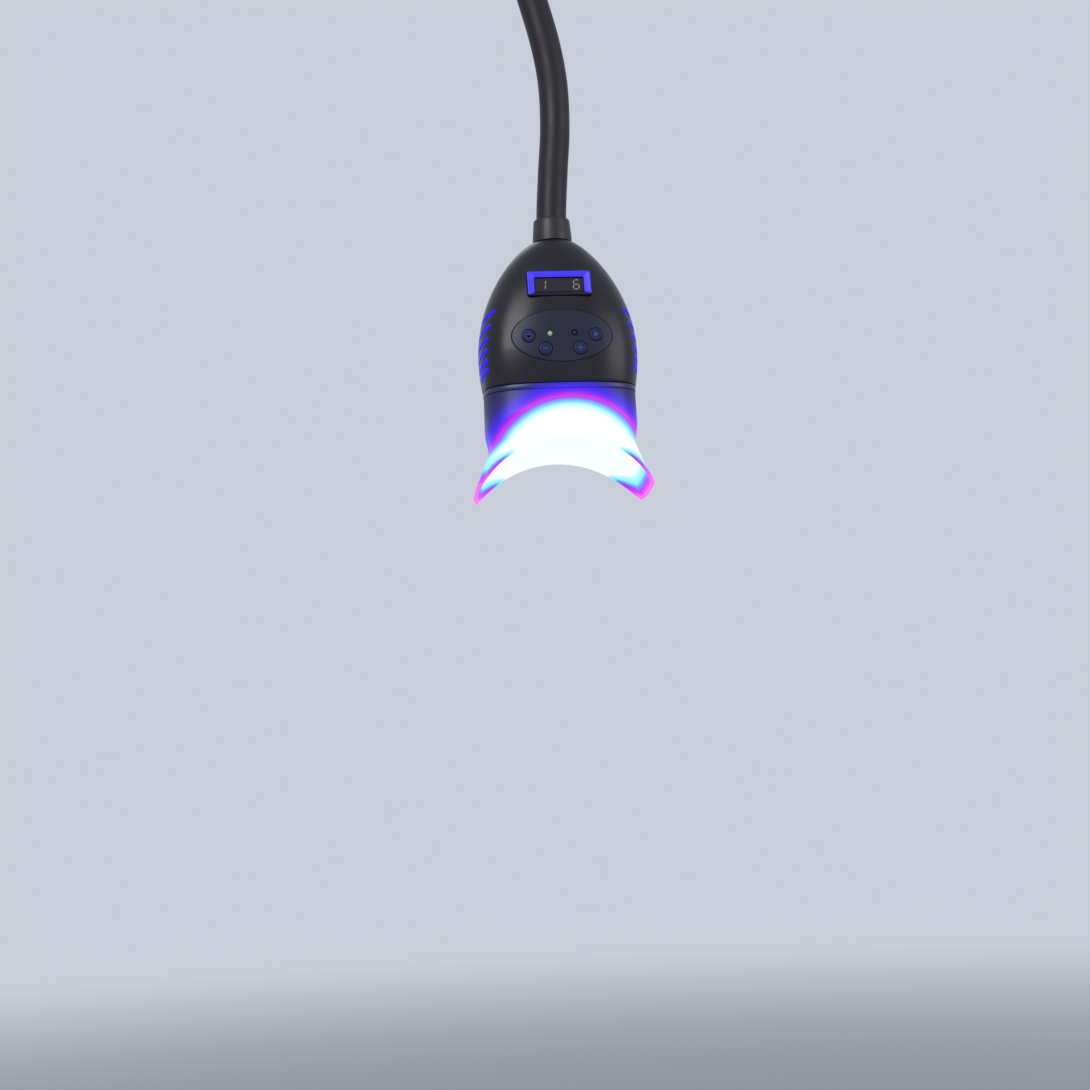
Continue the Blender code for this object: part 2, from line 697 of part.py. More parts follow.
def hex_nut(name, flats, height, bore, foot, finish, **where):
    points = 36
    chamfer = height / 8
    rings = [
        circle(bore, foot, points),
        circle(bore, foot + height, points),
        polygon(flats - chamfer, 6, foot + height, points),
        polygon(flats, 6, foot + height - chamfer, points),
        polygon(flats, 6, foot + chamfer, points),
        polygon(flats - chamfer, 6, foot, points),
    ]
    return hollow(name, rings, finish, **where)


def collar():
    """The tapered ferrule at the neck's foot, with a spigot through the housing."""
    turned_ring("neck_collar", [
        (COLLAR_FOOT_RADIUS, GAP),
        (COLLAR_FOOT_RADIUS, COLLAR_HEIGHT / 3),
        (COLLAR_TOP_RADIUS, COLLAR_HEIGHT - STUD_CHAMFER),
        (COLLAR_TOP_RADIUS - STUD_CHAMFER, COLLAR_HEIGHT),
        (SLEEVE_RADIUS + SLEEVE_EASE, COLLAR_HEIGHT),
        (SLEEVE_RADIUS + SLEEVE_EASE, COLLAR_FLOOR),
        (CORE_RADIUS + GAP, COLLAR_FLOOR),
        (CORE_RADIUS + GAP, -SPIGOT_LENGTH),
        (SPIGOT_RADIUS, -SPIGOT_LENGTH),
        (SPIGOT_RADIUS, GAP),
    ], DARK, parent=head)
    nut_foot = -NECK_NUT_DROP - NECK_NUT_HEIGHT
    hex_nut("neck_nut", NECK_NUT_FLATS, NECK_NUT_HEIGHT, SPIGOT_RADIUS + GAP, nut_foot, STEEL, parent=head)
    washer_foot = -NECK_NUT_DROP + GAP
    turned_ring("neck_washer", [
        (SPIGOT_RADIUS + GAP, washer_foot),
        (WASHER_RADIUS, washer_foot),
        (WASHER_RADIUS, washer_foot + WASHER_THICKNESS),
        (SPIGOT_RADIUS + GAP, washer_foot + WASHER_THICKNESS),
    ], STEEL, parent=head)


# Display, tilted to lie in the sloping front
DISPLAY_SLOPE = math.atan2(
    half_sizes(DISPLAY_DROP + BEZEL_HEIGHT / 2)[1] - half_sizes(DISPLAY_DROP - BEZEL_HEIGHT / 2)[1],
    BEZEL_HEIGHT,
)
display = empty(
    "display_frame",
    (0.0, front_y(0.0, DISPLAY_DROP), -DISPLAY_DROP),
    Matrix.Rotation(-DISPLAY_SLOPE, 4, "X"),
    head,
)


def rectangle(width, height, depth):
    """Corners of an upright rectangle at a depth behind the front surface."""
    x, z = width / 2, height / 2
    return [Vector((x, depth, z)), Vector((-x, depth, z)), Vector((-x, depth, -z)), Vector((x, depth, -z))]


def display_parts(housing):
    step_width = (BEZEL_WIDTH + WINDOW_WIDTH) / 2
    step_height = (BEZEL_HEIGHT + WINDOW_HEIGHT) / 2
    hollow("display_bezel", [
        rectangle(BEZEL_WIDTH, BEZEL_HEIGHT, BEZEL_DEPTH),
        rectangle(BEZEL_WIDTH, BEZEL_HEIGHT, -BEZEL_PROUD),
        rectangle(step_width + BEZEL_STEP, step_height + BEZEL_STEP, -BEZEL_PROUD),
        rectangle(step_width, step_height, 0.0),
        rectangle(WINDOW_WIDTH, WINDOW_HEIGHT, WINDOW_RECESS / 2),
        rectangle(WINDOW_WIDTH, WINDOW_HEIGHT, BEZEL_DEPTH),
    ], LIT_FRAME, parent=display, smooth=False)
    half_width = WINDOW_WIDTH / 2 - GAP
    half_height = WINDOW_HEIGHT / 2 - GAP
    block("display_window", (-half_width, WINDOW_RECESS, -half_height),
          (half_width, WINDOW_RECESS + WINDOW_THICKNESS, half_height), SMOKED, parent=display)
    hole_x = BEZEL_WIDTH / 2 + GAP
    hole_z = BEZEL_HEIGHT / 2 + GAP
    hole = block("display_hole", (-hole_x, -OVERRUN, -hole_z), (hole_x, OVERRUN + WALL, hole_z), None,
                 parent=display)
    combine(housing, hole, "DIFFERENCE")
    module_x, module_z = MODULE_WIDTH / 2, MODULE_HEIGHT / 2
    back = -BOARD_FRONT - GAP
    block("display_module", (-module_x, back - MODULE_DEPTH, -DISPLAY_DROP - module_z),
          (module_x, back, -DISPLAY_DROP + module_z), DARK, parent=head)


def keypad_parts(housing):
    """The oval membrane in its recess, the keys through it and the switches behind."""
    panel = surface_patch("keypad_panel", KEYPAD_HALF_WIDTH, KEYPAD_HALF_HEIGHT,
                          KEYPAD_PROUD, KEYPAD_THICKNESS, MEMBRANE)
    recess = surface_patch("keypad_recess", KEYPAD_HALF_WIDTH + GAP, KEYPAD_HALF_HEIGHT + GAP,
                           OVERRUN, KEYPAD_THICKNESS + GAP, None)
    combine(housing, recess, "DIFFERENCE")
    switch_top = -BOARD_FRONT - GAP - SWITCH_HEIGHT
    through = []
    for number, (name, (x, rise)) in enumerate(KEY_PLACES.items(), 1):
        drop = KEYPAD_DROP - rise
        face = front_y(x, drop) - KEY_PROUD
        through.append(upright(KEY_RADIUS + GAP, face - OVERRUN, switch_top, x, drop, "key_hole"))
        axis = empty(name + "_axis", (x, face, -drop), Matrix.Rotation(-math.pi / 2, 4, "X"), head)
        stem_end = switch_top - GAP - KEY_TRAVEL - face
        turned(name, [
            (KEY_RADIUS * 0.72, 0.0),
            (KEY_RADIUS * 0.93, KEY_PROUD / 4),
            (KEY_RADIUS, KEY_PROUD * 0.8),
            (KEY_RADIUS, KEY_CAP),
            (KEY_STEM_RADIUS, KEY_CAP),
            (KEY_STEM_RADIUS, stem_end),
        ], KEYCAP, parent=axis)
        half = SWITCH_SIDE / 2
        block(f"tact_switch_{number}", (x - half, switch_top, -drop - half),
              (x + half, -BOARD_FRONT - GAP, -drop + half), DARK, parent=head)
    for name, (x, rise) in INDICATOR_PLACES.items():
        drop = KEYPAD_DROP - rise
        face = front_y(x, drop) - INDICATOR_PROUD
        through.append(upright(INDICATOR_RADIUS + GAP, face - OVERRUN, switch_top, x, drop, "led_hole", 14))
        axis = empty(name + "_axis", (x, face, -drop), Matrix.Rotation(-math.pi / 2, 4, "X"), head)
        rings = [
            circle(INDICATOR_RADIUS * 0.45, 0.0, 14),
            circle(INDICATOR_RADIUS * 0.88, INDICATOR_RADIUS * 0.35, 14),
            circle(INDICATOR_RADIUS, INDICATOR_RADIUS, 14),
            circle(INDICATOR_RADIUS, -BOARD_FRONT - GAP - face, 14),
        ]
        capped(name, rings, LIGHT, parent=axis)
    holes = joined("keypad_holes", through)
    combine(panel, holes, "DIFFERENCE")
    combine(housing, holes, "DIFFERENCE")


def control_board():
    back = -BOARD_FRONT + BOARD_THICKNESS
    board = block("control_board", (-BOARD_HALF_WIDTH, -BOARD_FRONT, -BOARD_BOTTOM_DROP),
                  (BOARD_HALF_WIDTH, back, -BOARD_TOP_DROP), BOARD, parent=head)
    holes = []
    for k, (x, drop) in POST_PLACES.items():
        holes.append(upright(BOARD_SCREW_RADIUS + GAP, -BOARD_FRONT - OVERRUN, back + OVERRUN, x, drop,
                             "board_hole", 12))
        place = (x, back + GAP, -drop)
        axis = empty(f"board_screw_axis_{k}", place, Matrix.Rotation(math.pi / 2, 4, "X"), head)
        rings = [
            circle(BOARD_SCREW_HEAD_RADIUS * 0.7, -BOARD_SCREW_HEAD, 14),
            circle(BOARD_SCREW_HEAD_RADIUS, -BOARD_SCREW_HEAD * 0.6, 14),
            circle(BOARD_SCREW_HEAD_RADIUS, 0.0, 14),
            circle(BOARD_SCREW_RADIUS, 0.0, 14),
            circle(BOARD_SCREW_RADIUS, BOARD_SCREW_LENGTH, 14),
        ]
        capped(f"board_screw_{k}", rings, STEEL, parent=axis)
    combine(board, joined("board_holes", holes), "DIFFERENCE")
    seat = empty("buzzer_axis", (0.0, back + GAP, -BUZZER_DROP), Matrix.Rotation(-math.pi / 2, 4, "X"), head)
    turned("buzzer", [
        (BUZZER_RADIUS, 0.0),
        (BUZZER_RADIUS, BUZZER_HEIGHT),
        (BUZZER_RADIUS / 6, BUZZER_HEIGHT),
        (BUZZER_RADIUS / 6, BUZZER_HEIGHT / 2),
    ], DARK, parent=seat)


def screw_holes(front, rear):
    """Bosses, bores and the four screws that close the housing from the rear."""
    bosses(front, "front_bosses", SCREW_PLACES, BOSS_RADIUS, -BODY_FRONT_DEPTH, -SPLIT_GAP / 2)
    bosses(rear, "rear_bosses", SCREW_PLACES, BOSS_RADIUS, SPLIT_GAP / 2, BODY_REAR_DEPTH)
    bosses(front, "board_posts", POST_PLACES, POST_RADIUS, -BODY_FRONT_DEPTH, -BOARD_FRONT - GAP)
    pilots = [
        upright(BOARD_SCREW_RADIUS + GAP, -BOARD_FRONT - BOARD_SCREW_LENGTH, -BOARD_FRONT + OVERRUN, x, drop,
                "pilot", 12)
        for x, drop in POST_PLACES.values()
    ]
    bores, sinks = [], []
    for k, (x, drop) in SCREW_PLACES.items():
        seat = rear_y(x, drop) - SCREW_SINK - SCREW_HEAD
        bores.append(upright(SCREW_RADIUS + GAP, -SCREW_REACH - GAP, seat + OVERRUN, x, drop, "bore", 16))
        sinks.append(upright(SCREW_HEAD_RADIUS + GAP, seat, rear_y(x, drop) + OVERRUN, x, drop, "sink", 20))
        pilots.append(upright(SCREW_RADIUS + GAP, -SCREW_REACH - GAP, OVERRUN, x, drop, "pilot", 16))
        axis = empty(f"housing_screw_axis_{k}", (x, seat + GAP, -drop), Matrix.Rotation(math.pi / 2, 4, "X"),
                     head)
        turned(f"housing_screw_{k}", [
            (SCREW_HEAD_RADIUS * 0.8, -SCREW_HEAD),
            (SCREW_HEAD_RADIUS, -SCREW_HEAD * 0.7),
            (SCREW_HEAD_RADIUS, 0.0),
            (SCREW_RADIUS, 0.0),
            (SCREW_RADIUS, seat + SCREW_REACH),
        ], STEEL, parent=axis)
    combine(front, joined("front_pilots", pilots), "DIFFERENCE")
    combine(rear, joined("rear_bores", bores), "DIFFERENCE")
    combine(rear, joined("rear_sinks", sinks), "DIFFERENCE")


def vent_drop(k):
    """Drop of a vent's front end: the pitch shrinks towards the nose."""
    return VENT_FIRST_DROP + VENT_PITCH * (1 - VENT_PITCH_SHARE**k) / (1 - VENT_PITCH_SHARE)


def vents(housing):
    cutters = []
    for side in (-1, 1):
        for k in range(VENT_COUNT):
            drop = vent_drop(k)
            fall = VENT_FALL * VENT_PITCH_SHARE ** (k / 2)
            width = half_sizes(drop + fall / 2)[0]
            x = sorted((side * (width - VENT_REACH), side * (width + OVERRUN)))
            length = math.hypot(VENT_FRONT - VENT_REAR, fall)
            slant = math.atan2(fall, VENT_FRONT - VENT_REAR)
            middle = (0.0, -(VENT_FRONT + VENT_REAR) / 2, -(drop + fall / 2))
            frame = empty(f"vent_axis_{side}_{k}", middle, Matrix.Rotation(-slant, 4, "X"), head)
            cutters.append(block("vent", (x[0], -length / 2, -VENT_WIDTH / 2),
                                 (x[1], length / 2, VENT_WIDTH / 2), None, parent=frame))
    combine(housing, joined("side_vents", cutters), "DIFFERENCE")


def exhaust(housing):
    cutters = []
    for k in range(EXHAUST_COUNT):
        x = (k - (EXHAUST_COUNT - 1) / 2) * EXHAUST_PITCH
        half = EXHAUST_WIDTH / 2
        cutters.append(block("slot", (x - half, BODY_REAR_DEPTH - EXHAUST_REACH,
                                      -EXHAUST_TOP_DROP - EXHAUST_LENGTH),
                             (x + half, BODY_REAR_DEPTH + OVERRUN, -EXHAUST_TOP_DROP), None, parent=head))
    combine(housing, joined("exhaust_slots", cutters), "DIFFERENCE")


def light_engine():
    """Barrel, heat sink, pad, board, emitters, reflector and lens, stacked down the nose."""
    inner = BARREL_INSET + BARREL_WALL
    flange_top = BODY_LENGTH + GAP
    flange_foot = flange_top + FLANGE_HEIGHT
    lens_foot = BARREL_FOOT_DROP - FLANGE_HEIGHT
    lens_top = lens_foot - LENS_THICKNESS
    hollow("lamp_barrel", [
        nose_ring(BARREL_TOP_DROP, BARREL_INSET),
        nose_ring(flange_top, BARREL_INSET),
        nose_ring(flange_top, FLANGE_INSET),
        nose_ring(flange_foot, FLANGE_INSET),
        nose_ring(flange_foot, BARREL_INSET),
        nose_ring(BARREL_FOOT_DROP, BARREL_INSET),
        nose_ring(BARREL_FOOT_DROP, inner + GAP),
        nose_ring(lens_foot + GAP, inner + GAP),
        nose_ring(lens_foot + GAP, inner),
        nose_ring(BARREL_TOP_DROP, inner),
    ], SHELL, parent=head)
    fitted = inner + GAP
    capped("front_lens", [nose_ring(lens_top, fitted), nose_ring(lens_foot, fitted)], CLEAR, parent=head)
    reflector_foot = lens_top - GAP
    reflector_top = reflector_foot - REFLECTOR_THICKNESS
    plate = capped("reflector_plate", [nose_ring(reflector_top, fitted), nose_ring(reflector_foot, fitted)],
                   MIRROR, parent=head)
    board_foot = reflector_top - GAP
    board_top = board_foot - LED_BOARD_THICKNESS
    capped("led_board", [nose_ring(board_top, fitted), nose_ring(board_foot, fitted)], ALUMINIUM, parent=head)
    cones, number = [], 0
    middle = (BODY_REAR_DEPTH - BODY_FRONT_DEPTH) / 2
    for row in range(LED_ROWS):
        for column in range(LED_COLUMNS):
            number += 1
            x = (column - (LED_COLUMNS - 1) / 2) * LED_COLUMN_PITCH
            y = middle + (row - (LED_ROWS - 1) / 2) * LED_ROW_PITCH
            axis = empty(f"led_axis_{number}", (x, y, -board_foot - GAP), parent=head)
            angles = [math.radians(a) for a in (0, 30, 55, 75)]
            rings = [circle(LED_RADIUS * math.cos(a), -LED_HEIGHT * math.sin(a), 12) for a in angles]
            capped(f"blue_led_{number}", rings, LIGHT, parent=axis)
            slope = (REFLECTOR_MOUTH - REFLECTOR_THROAT) / REFLECTOR_THICKNESS
            past = OVERRUN / 4
            cones.append(capped("cone", [
                circle(REFLECTOR_THROAT - slope * past, past, 14),
                circle(REFLECTOR_MOUTH + slope * past, -REFLECTOR_THICKNESS - past, 14),
            ], None, parent=axis))
    combine(plate, joined("reflector_cones", cones), "DIFFERENCE")
    pad_foot = board_top - GAP
    pad_top = pad_foot - PAD_THICKNESS
    width, front, rear = HEAT_SINK_HALF_WIDTH, HEAT_SINK_FRONT, HEAT_SINK_REAR
    block("thermal_pad", (-width, -front, -pad_foot), (width, rear, -pad_top), PAD, parent=head)
    heat_sink(pad_top - GAP)
    fan(pad_top - GAP - HEAT_SINK_BASE - FIN_HEIGHT - GAP)


def heat_sink(foot):
    """A comb of fins on a base, extruded from front to rear."""
    base = foot - HEAT_SINK_BASE
    top = base - FIN_HEIGHT
    width = HEAT_SINK_HALF_WIDTH
    pitch = (2 * width - FIN_THICKNESS) / (FIN_COUNT - 1)
    comb = [(-width, -foot)]
    for k in range(FIN_COUNT):
        left = -width + k * pitch
        right = left + FIN_THICKNESS
        if k:
            comb.append((left, -base))
        comb.append((left, -top))
        comb.append((right, -top))
        if k < FIN_COUNT - 1:
            comb.append((right, -base))
    comb.append((width, -foot))
    rings = [[Vector((x, y, z)) for x, z in comb] for y in (-HEAT_SINK_FRONT, HEAT_SINK_REAR)]
    capped("heat_sink", rings, ALUMINIUM, parent=head, smooth=False)


def fan(foot):
    """A square frame with a round bore and struts, and the rotor that turns in it."""
    seat = empty("fan_axis", (0.0, FAN_CENTRE_REAR, -foot), parent=head)
    points = 32
    frame = hollow("fan_frame", [
        circle(FAN_BORE, 0.0, points),
        circle(FAN_BORE, FAN_HEIGHT, points),
        polygon(FAN_HALF_SIDE, 4, FAN_HEIGHT, points),
        polygon(FAN_HALF_SIDE, 4, 0.0, points),
    ], DARK, parent=seat)
    reach = (FAN_BORE + FAN_HALF_SIDE) / 2
    bars = []
    for k in range(STRUT_COUNT // 2):
        spin = Matrix.Rotation(math.pi * 2 * k / STRUT_COUNT, 4, "Z")
        turn = empty(f"strut_axis_{k}", (0, 0, 0), spin, seat)
        bars.append(block("strut", (-reach, -STRUT_WIDTH / 2, GAP * (1 + k)),
                          (reach, STRUT_WIDTH / 2, STRUT_THICKNESS - GAP * k), None, parent=turn))
    for bar in bars:
        combine(frame, bar, "UNION")
    hub_foot = STRUT_THICKNESS + GAP
    rotor = turned("fan_rotor", [(HUB_RADIUS, hub_foot), (HUB_RADIUS, hub_foot + HUB_HEIGHT - STUD_CHAMFER),
                                 (HUB_RADIUS - STUD_CHAMFER, hub_foot + HUB_HEIGHT)], DARK, parent=seat)
    blades = []
    inner_reach = HUB_RADIUS * 0.7
    for k in range(BLADE_COUNT):
        spin = Matrix.Rotation(2 * math.pi * k / BLADE_COUNT, 4, "Z")
        twist = Matrix.Rotation(BLADE_TWIST, 4, "X")
        turn = empty(f"blade_axis_{k}", (0, 0, hub_foot + HUB_HEIGHT / 2), spin @ twist, seat)
        blades.append(block("blade", (inner_reach, -BLADE_THICKNESS / 2, -BLADE_HEIGHT / 2),
                            (ROTOR_RADIUS - GAP, BLADE_THICKNESS / 2, BLADE_HEIGHT / 2), None, parent=turn))
    combine(rotor, joined("fan_blades", blades), "UNION")
    print(f"fan axis at {HEAD.x:.6f} {FAN_CENTRE_REAR:.6f} {HEAD.z - foot:.6f}")


# Mouth guard
def arch_fall(x):
    """How far the rim hangs below its apex, so that it wraps the face."""
    fall = GUARD_ARCH_RADIUS - math.sqrt(max(GUARD_ARCH_RADIUS**2 - x * x, 0.0))
    return min(fall, GUARD_TIP_FALL)


def guard_ring(share, wall_in):
    """One ring of the guard; share 0 is its seat on the barrel, 1 is the rim."""
    seat_inset = BARREL_INSET - GAP - GUARD_WALL + wall_in
    width, front, rear, square = half_sizes(BODY_LENGTH)
    seat = (width - seat_inset, front - seat_inset, rear - seat_inset)
    held = BARREL_NOSE / (GUARD_APEX_DROP - GUARD_FRONT_LIFT - GUARD_TOP_DROP)
    below = min(max(share - held, 0.0) / (GUARD_FLARE_SHARE - held), 1.0)
    draw = GUARD_WAIST_INSET * math.sin(math.pi / 2 * below) ** 2
    waist = [size - draw for size in seat]
    rim = (GUARD_RIM_HALF_WIDTH - wall_in, GUARD_RIM_FRONT - wall_in, GUARD_RIM_REAR - wall_in)
    past = max(0.0, share - GUARD_FLARE_SHARE) / (1 - GUARD_FLARE_SHARE)
    flare = past**GUARD_FLARE_POWER_SHARE
    sizes = [w + (r - w) * flare for w, r in zip(waist, rim)]
    square = square + (GUARD_SQUARENESS_SHARE - square) * share
    ring = []
    for k in range(SECTION_POINTS):
        angle = 2 * math.pi * k / SECTION_POINTS
        x, y = outline(*sizes, square, angle)
        rim_x, rim_y = outline(*rim, square, angle)
        fall = GUARD_APEX_DROP + arch_fall(rim_x) + GUARD_RIM_TILT_SHARE * rim_y - GUARD_TOP_DROP
        ring.append(Vector((x, y, -GUARD_TOP_DROP - fall * share)))
    return ring


def mouth_guard():
    shares = [k / (GUARD_ROWS - 1) for k in range(GUARD_ROWS)]
    rings = [guard_ring(share, 0.0) for share in shares]
    rings += [guard_ring(share, GUARD_WALL) for share in reversed(shares)]
    hollow("mouth_guard", rings, GUARD, parent=head)


end_fitting()
hex_nut("lock_nut", LOCK_NUT_FLATS, LOCK_NUT_HEIGHT, STUD_RADIUS + GAP, -STUD_LENGTH + GAP, CHROME)
flexible_neck()
collar()
front_housing = half_housing("front_housing", 0.0, SHELL)
rear_housing = half_housing("rear_housing", math.pi, SHELL)
screw_holes(front_housing, rear_housing)
display_parts(front_housing)
keypad_parts(front_housing)
control_board()
vents(front_housing)
exhaust(rear_housing)
light_engine()
mouth_guard()
print(f"head top at {HEAD.x:.6f} {HEAD.y:.6f} {HEAD.z:.6f}")
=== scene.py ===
# %% [markdown]
# A teeth whitening lamp, dressed in Blender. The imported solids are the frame: they say
# where each piece is and what moves. They could be rendered as they are, but a solid made
# for fit has no grain, no edge breaks and no light. So this script gives each its finish,
# and replaces the plain ones by finer pieces on the same sizes.

# %% Load the frame
import math
from collections import Counter
from contextlib import contextmanager

import bmesh
import bpy
from mathutils import Matrix, Vector


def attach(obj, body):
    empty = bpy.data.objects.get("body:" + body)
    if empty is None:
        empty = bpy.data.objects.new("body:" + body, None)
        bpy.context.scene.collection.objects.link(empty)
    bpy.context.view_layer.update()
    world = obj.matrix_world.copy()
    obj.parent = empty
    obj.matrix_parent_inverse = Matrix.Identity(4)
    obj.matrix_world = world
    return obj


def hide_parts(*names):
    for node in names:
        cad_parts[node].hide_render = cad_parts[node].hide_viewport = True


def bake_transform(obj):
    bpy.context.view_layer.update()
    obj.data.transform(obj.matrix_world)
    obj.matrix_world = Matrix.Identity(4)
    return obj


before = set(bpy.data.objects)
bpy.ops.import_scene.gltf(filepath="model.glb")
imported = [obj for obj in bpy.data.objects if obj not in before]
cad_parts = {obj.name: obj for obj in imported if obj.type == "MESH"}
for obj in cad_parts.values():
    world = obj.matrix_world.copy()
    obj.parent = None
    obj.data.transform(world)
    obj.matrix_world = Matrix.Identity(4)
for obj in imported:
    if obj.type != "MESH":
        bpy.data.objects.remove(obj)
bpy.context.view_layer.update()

# %% [markdown]
# Colours are written as sRGB hex values, as a paint chart gives them, and sizes in
# millimetres, as on a drawing. Blender works in linear light and in metres. One function
# and one factor turn them, so that every number below can be held against the real lamp.

# %% Colours and sizes in millimetres
MM = 0.001


def linear(code):
    """An sRGB hex colour as linear RGBA."""
    parts = [int(code[k:k + 2], 16) / 255 for k in (1, 3, 5)]
    return (*(c / 12.92 if c <= 0.04045 else ((c + 0.055) / 1.055) ** 2.4 for c in parts), 1.0)


print("mid grey in linear light:", round(linear("#808080")[0], 3))

# %% [markdown]
# The camera comes first, because the whole picture depends on it. It could be nudged by eye
# until the picture looks right, but then an error in the lamp's shape hides in it. So its
# place was solved from points on the lamp: a little to the left of the display side and
# below the head, looking up, with the picture turned by a few degrees. It has no shift.

# %% Camera
HEAD_TOP = Vector((16.0, 0.0, -248.5)) * MM
AIM = HEAD_TOP + Vector((0, 0, -50)) * MM
PICTURE, FOCAL_PIXELS, AIM_PIXEL = 1090, 1990.5, (556.8, 341.8)
CAMERA_DISTANCE = 1.0
azimuth, elevation, roll = (math.radians(a) for a in (-6.4, -12.1, -2.6))


def in_scene(name, data):
    """A new object, linked into the scene."""
    made = bpy.data.objects.new(name, data)
    bpy.context.scene.collection.objects.link(made)
    return made


def stand_at(made, place, turn):
    """Sets an object down at a place with a turn given as a quaternion."""
    made.location = place
    made.rotation_mode = "QUATERNION"
    made.rotation_quaternion = turn
    return made


back = Vector((math.sin(azimuth) * math.cos(elevation), -math.cos(azimuth) * math.cos(elevation),
               math.sin(elevation)))
right = Vector((0, 0, 1)).cross(back).normalized()
up = back.cross(right)
right, up = math.cos(roll) * right + math.sin(roll) * up, math.cos(roll) * up - math.sin(roll) * right
facing = Matrix((right, up, back)).transposed().to_quaternion()
seen = Vector((AIM_PIXEL[0] - PICTURE / 2, PICTURE / 2 - AIM_PIXEL[1], -FOCAL_PIXELS)).normalized()

camera_data = bpy.data.cameras.new("photo_camera")
camera_data.sensor_fit = "HORIZONTAL"
camera_data.angle = 2 * math.atan(PICTURE / 2 / FOCAL_PIXELS)
camera_data.clip_start = 0.01
camera = stand_at(in_scene("photo_camera", camera_data), AIM + back * CAMERA_DISTANCE,
                  facing @ seen.rotation_difference(Vector((0, 0, -1))))
bpy.context.scene.camera = camera
print("field of view", round(math.degrees(camera_data.angle), 1), "degrees, at", camera.location)

# %% [markdown]
# A material is a small graph of nodes. They could be placed by hand in the editor, but
# written out they can be read and changed in one place. One function adds a node and fills
# its inputs, so each finish below reads as a short recipe. Another turns a line of
# arithmetic into nodes, step by step, because the light and the guard both follow formulas.


# %% Node helpers
def feed(node, feeds):
    """Fills a node's inputs: with values, or with links where a socket is given."""
    for key, value in feeds.items():
        if isinstance(value, bpy.types.NodeSocket):
            node.id_data.links.new(value, node.inputs[key])
        else:
            node.inputs[key].default_value = value
    return node


def add_node(tree, kind, feeds=None, stops=(), **settings):
    """One node: settings are its properties, feeds fill its inputs, stops are a ramp's colours."""
    node = tree.nodes.new(kind)
    for name, value in settings.items():
        setattr(node, name, value)
    for k in range(2, len(stops)):
        node.color_ramp.elements.new(0.5)
    for k, (place, code) in enumerate(stops):
        node.color_ramp.elements[k].position, node.color_ramp.elements[k].color = place, linear(code)
    return feed(node, feeds or {})


STEPS = {"+": "add", "-": "subtract", "*": "multiply", "/": "divide", "^": "power", ">": "greater_than",
         "<": "less_than", "min": "minimum", "max": "maximum", "pingpong": "pingpong"}


def work_out(tree, known, formula):
    """Lines such as a = b + c * d as nodes, worked strictly from left to right. A word such as sine
    works on what stands before it, and map takes a range and a new range after it."""
    def term(word):
        """What a word of the formula stands for: a known value, or a plain number."""
        return known[word] if word in known else float(word)

    for line in formula.split(";"):
        name, _, first, *rest = line.split()
        value = term(first)
        while rest:
            sign, *rest = rest
            count = 4 if sign == "map" else int(sign in STEPS)
            taken = dict(enumerate([value, *map(term, rest[:count])]))
            rest = rest[count:]
            if sign == "map":
                node = add_node(tree, "ShaderNodeMapRange", taken)
            else:
                node = add_node(tree, "ShaderNodeMath", taken, operation=STEPS.get(sign, sign).upper())
            value = node.outputs[0]
        known[name] = value
    return known


def new_material(name, colour, **feeds):
    """A material, its tree and its shader; feeds are the shader's own inputs."""
    made = bpy.data.materials.new(name)
    made.use_nodes = True
    made.diffuse_color = linear(colour)
    shader = made.node_tree.nodes["Principled BSDF"]
    feed(shader, {"Base Color": linear(colour)})
    feed(shader, {key.replace("_", " "): value for key, value in feeds.items()})
    return made, made.node_tree, shader


print("helpers ready, signs known:", len(STEPS))

# %% [markdown]
# The stage is a plain pale floor well below the head, since the lamp hangs in the air. It
# is one sheet, grown from a grid. Near the lamp it takes light and shadow; further off it
# fades into the colour of the background, so that no horizon cuts the picture. A curved
# backdrop would hide the horizon too, but only from one side. The light all round is soft
# and weak, and three soft boxes give the lamp its shape. The plain background is shown to
# the camera and to what metal and glass reflect.

# %% Floor and light
FLOOR_DROP, FLOOR_REACH, FADE_START, FADE_END = 820 * MM, 9.0, 1.0, 2.6
BACKGROUND, ROOM_LIGHT, ROOM_STRENGTH = "#C9CEDA", "#DDE1EA", 0.34

floor_mesh = bpy.data.meshes.new("studio_floor")
floor_shape = bmesh.new()
bmesh.ops.create_grid(floor_shape, x_segments=4, y_segments=4, size=FLOOR_REACH)
bmesh.ops.translate(floor_shape, verts=floor_shape.verts, vec=(0, 0, -FLOOR_DROP))
floor_shape.to_mesh(floor_mesh)
floor_shape.free()
in_scene("studio_floor", floor_mesh)

paint, tree, shader = new_material("matt_studio_paint", "#C9CDD6", Roughness=0.9)
speck = add_node(tree, "ShaderNodeTexNoise", {"Scale": 6.0, "Detail": 3.0})
tone = add_node(tree, "ShaderNodeMix", {"Factor": speck.outputs["Fac"], "A": linear("#C4C8D2"),
                                        "B": linear("#CED2DA")}, data_type="RGBA")
feed(shader, {"Base Color": tone.outputs["Result"]})
spot = add_node(tree, "ShaderNodeTexCoord")
far = add_node(tree, "ShaderNodeVectorMath", {0: spot.outputs["Object"]}, operation="LENGTH")
fade = add_node(tree, "ShaderNodeMapRange", {"Value": far.outputs["Value"], "From Min": FADE_START,
                                             "From Max": FADE_END}, interpolation_type="SMOOTHSTEP")
haze = add_node(tree, "ShaderNodeEmission", {"Color": linear(BACKGROUND), "Strength": 1.0})
blend = add_node(tree, "ShaderNodeMixShader", {0: fade.outputs["Result"], 1: shader.outputs[0],
                                               2: haze.outputs[0]})
feed(tree.nodes["Material Output"], {"Surface": blend.outputs[0]})
floor_mesh.materials.append(paint)

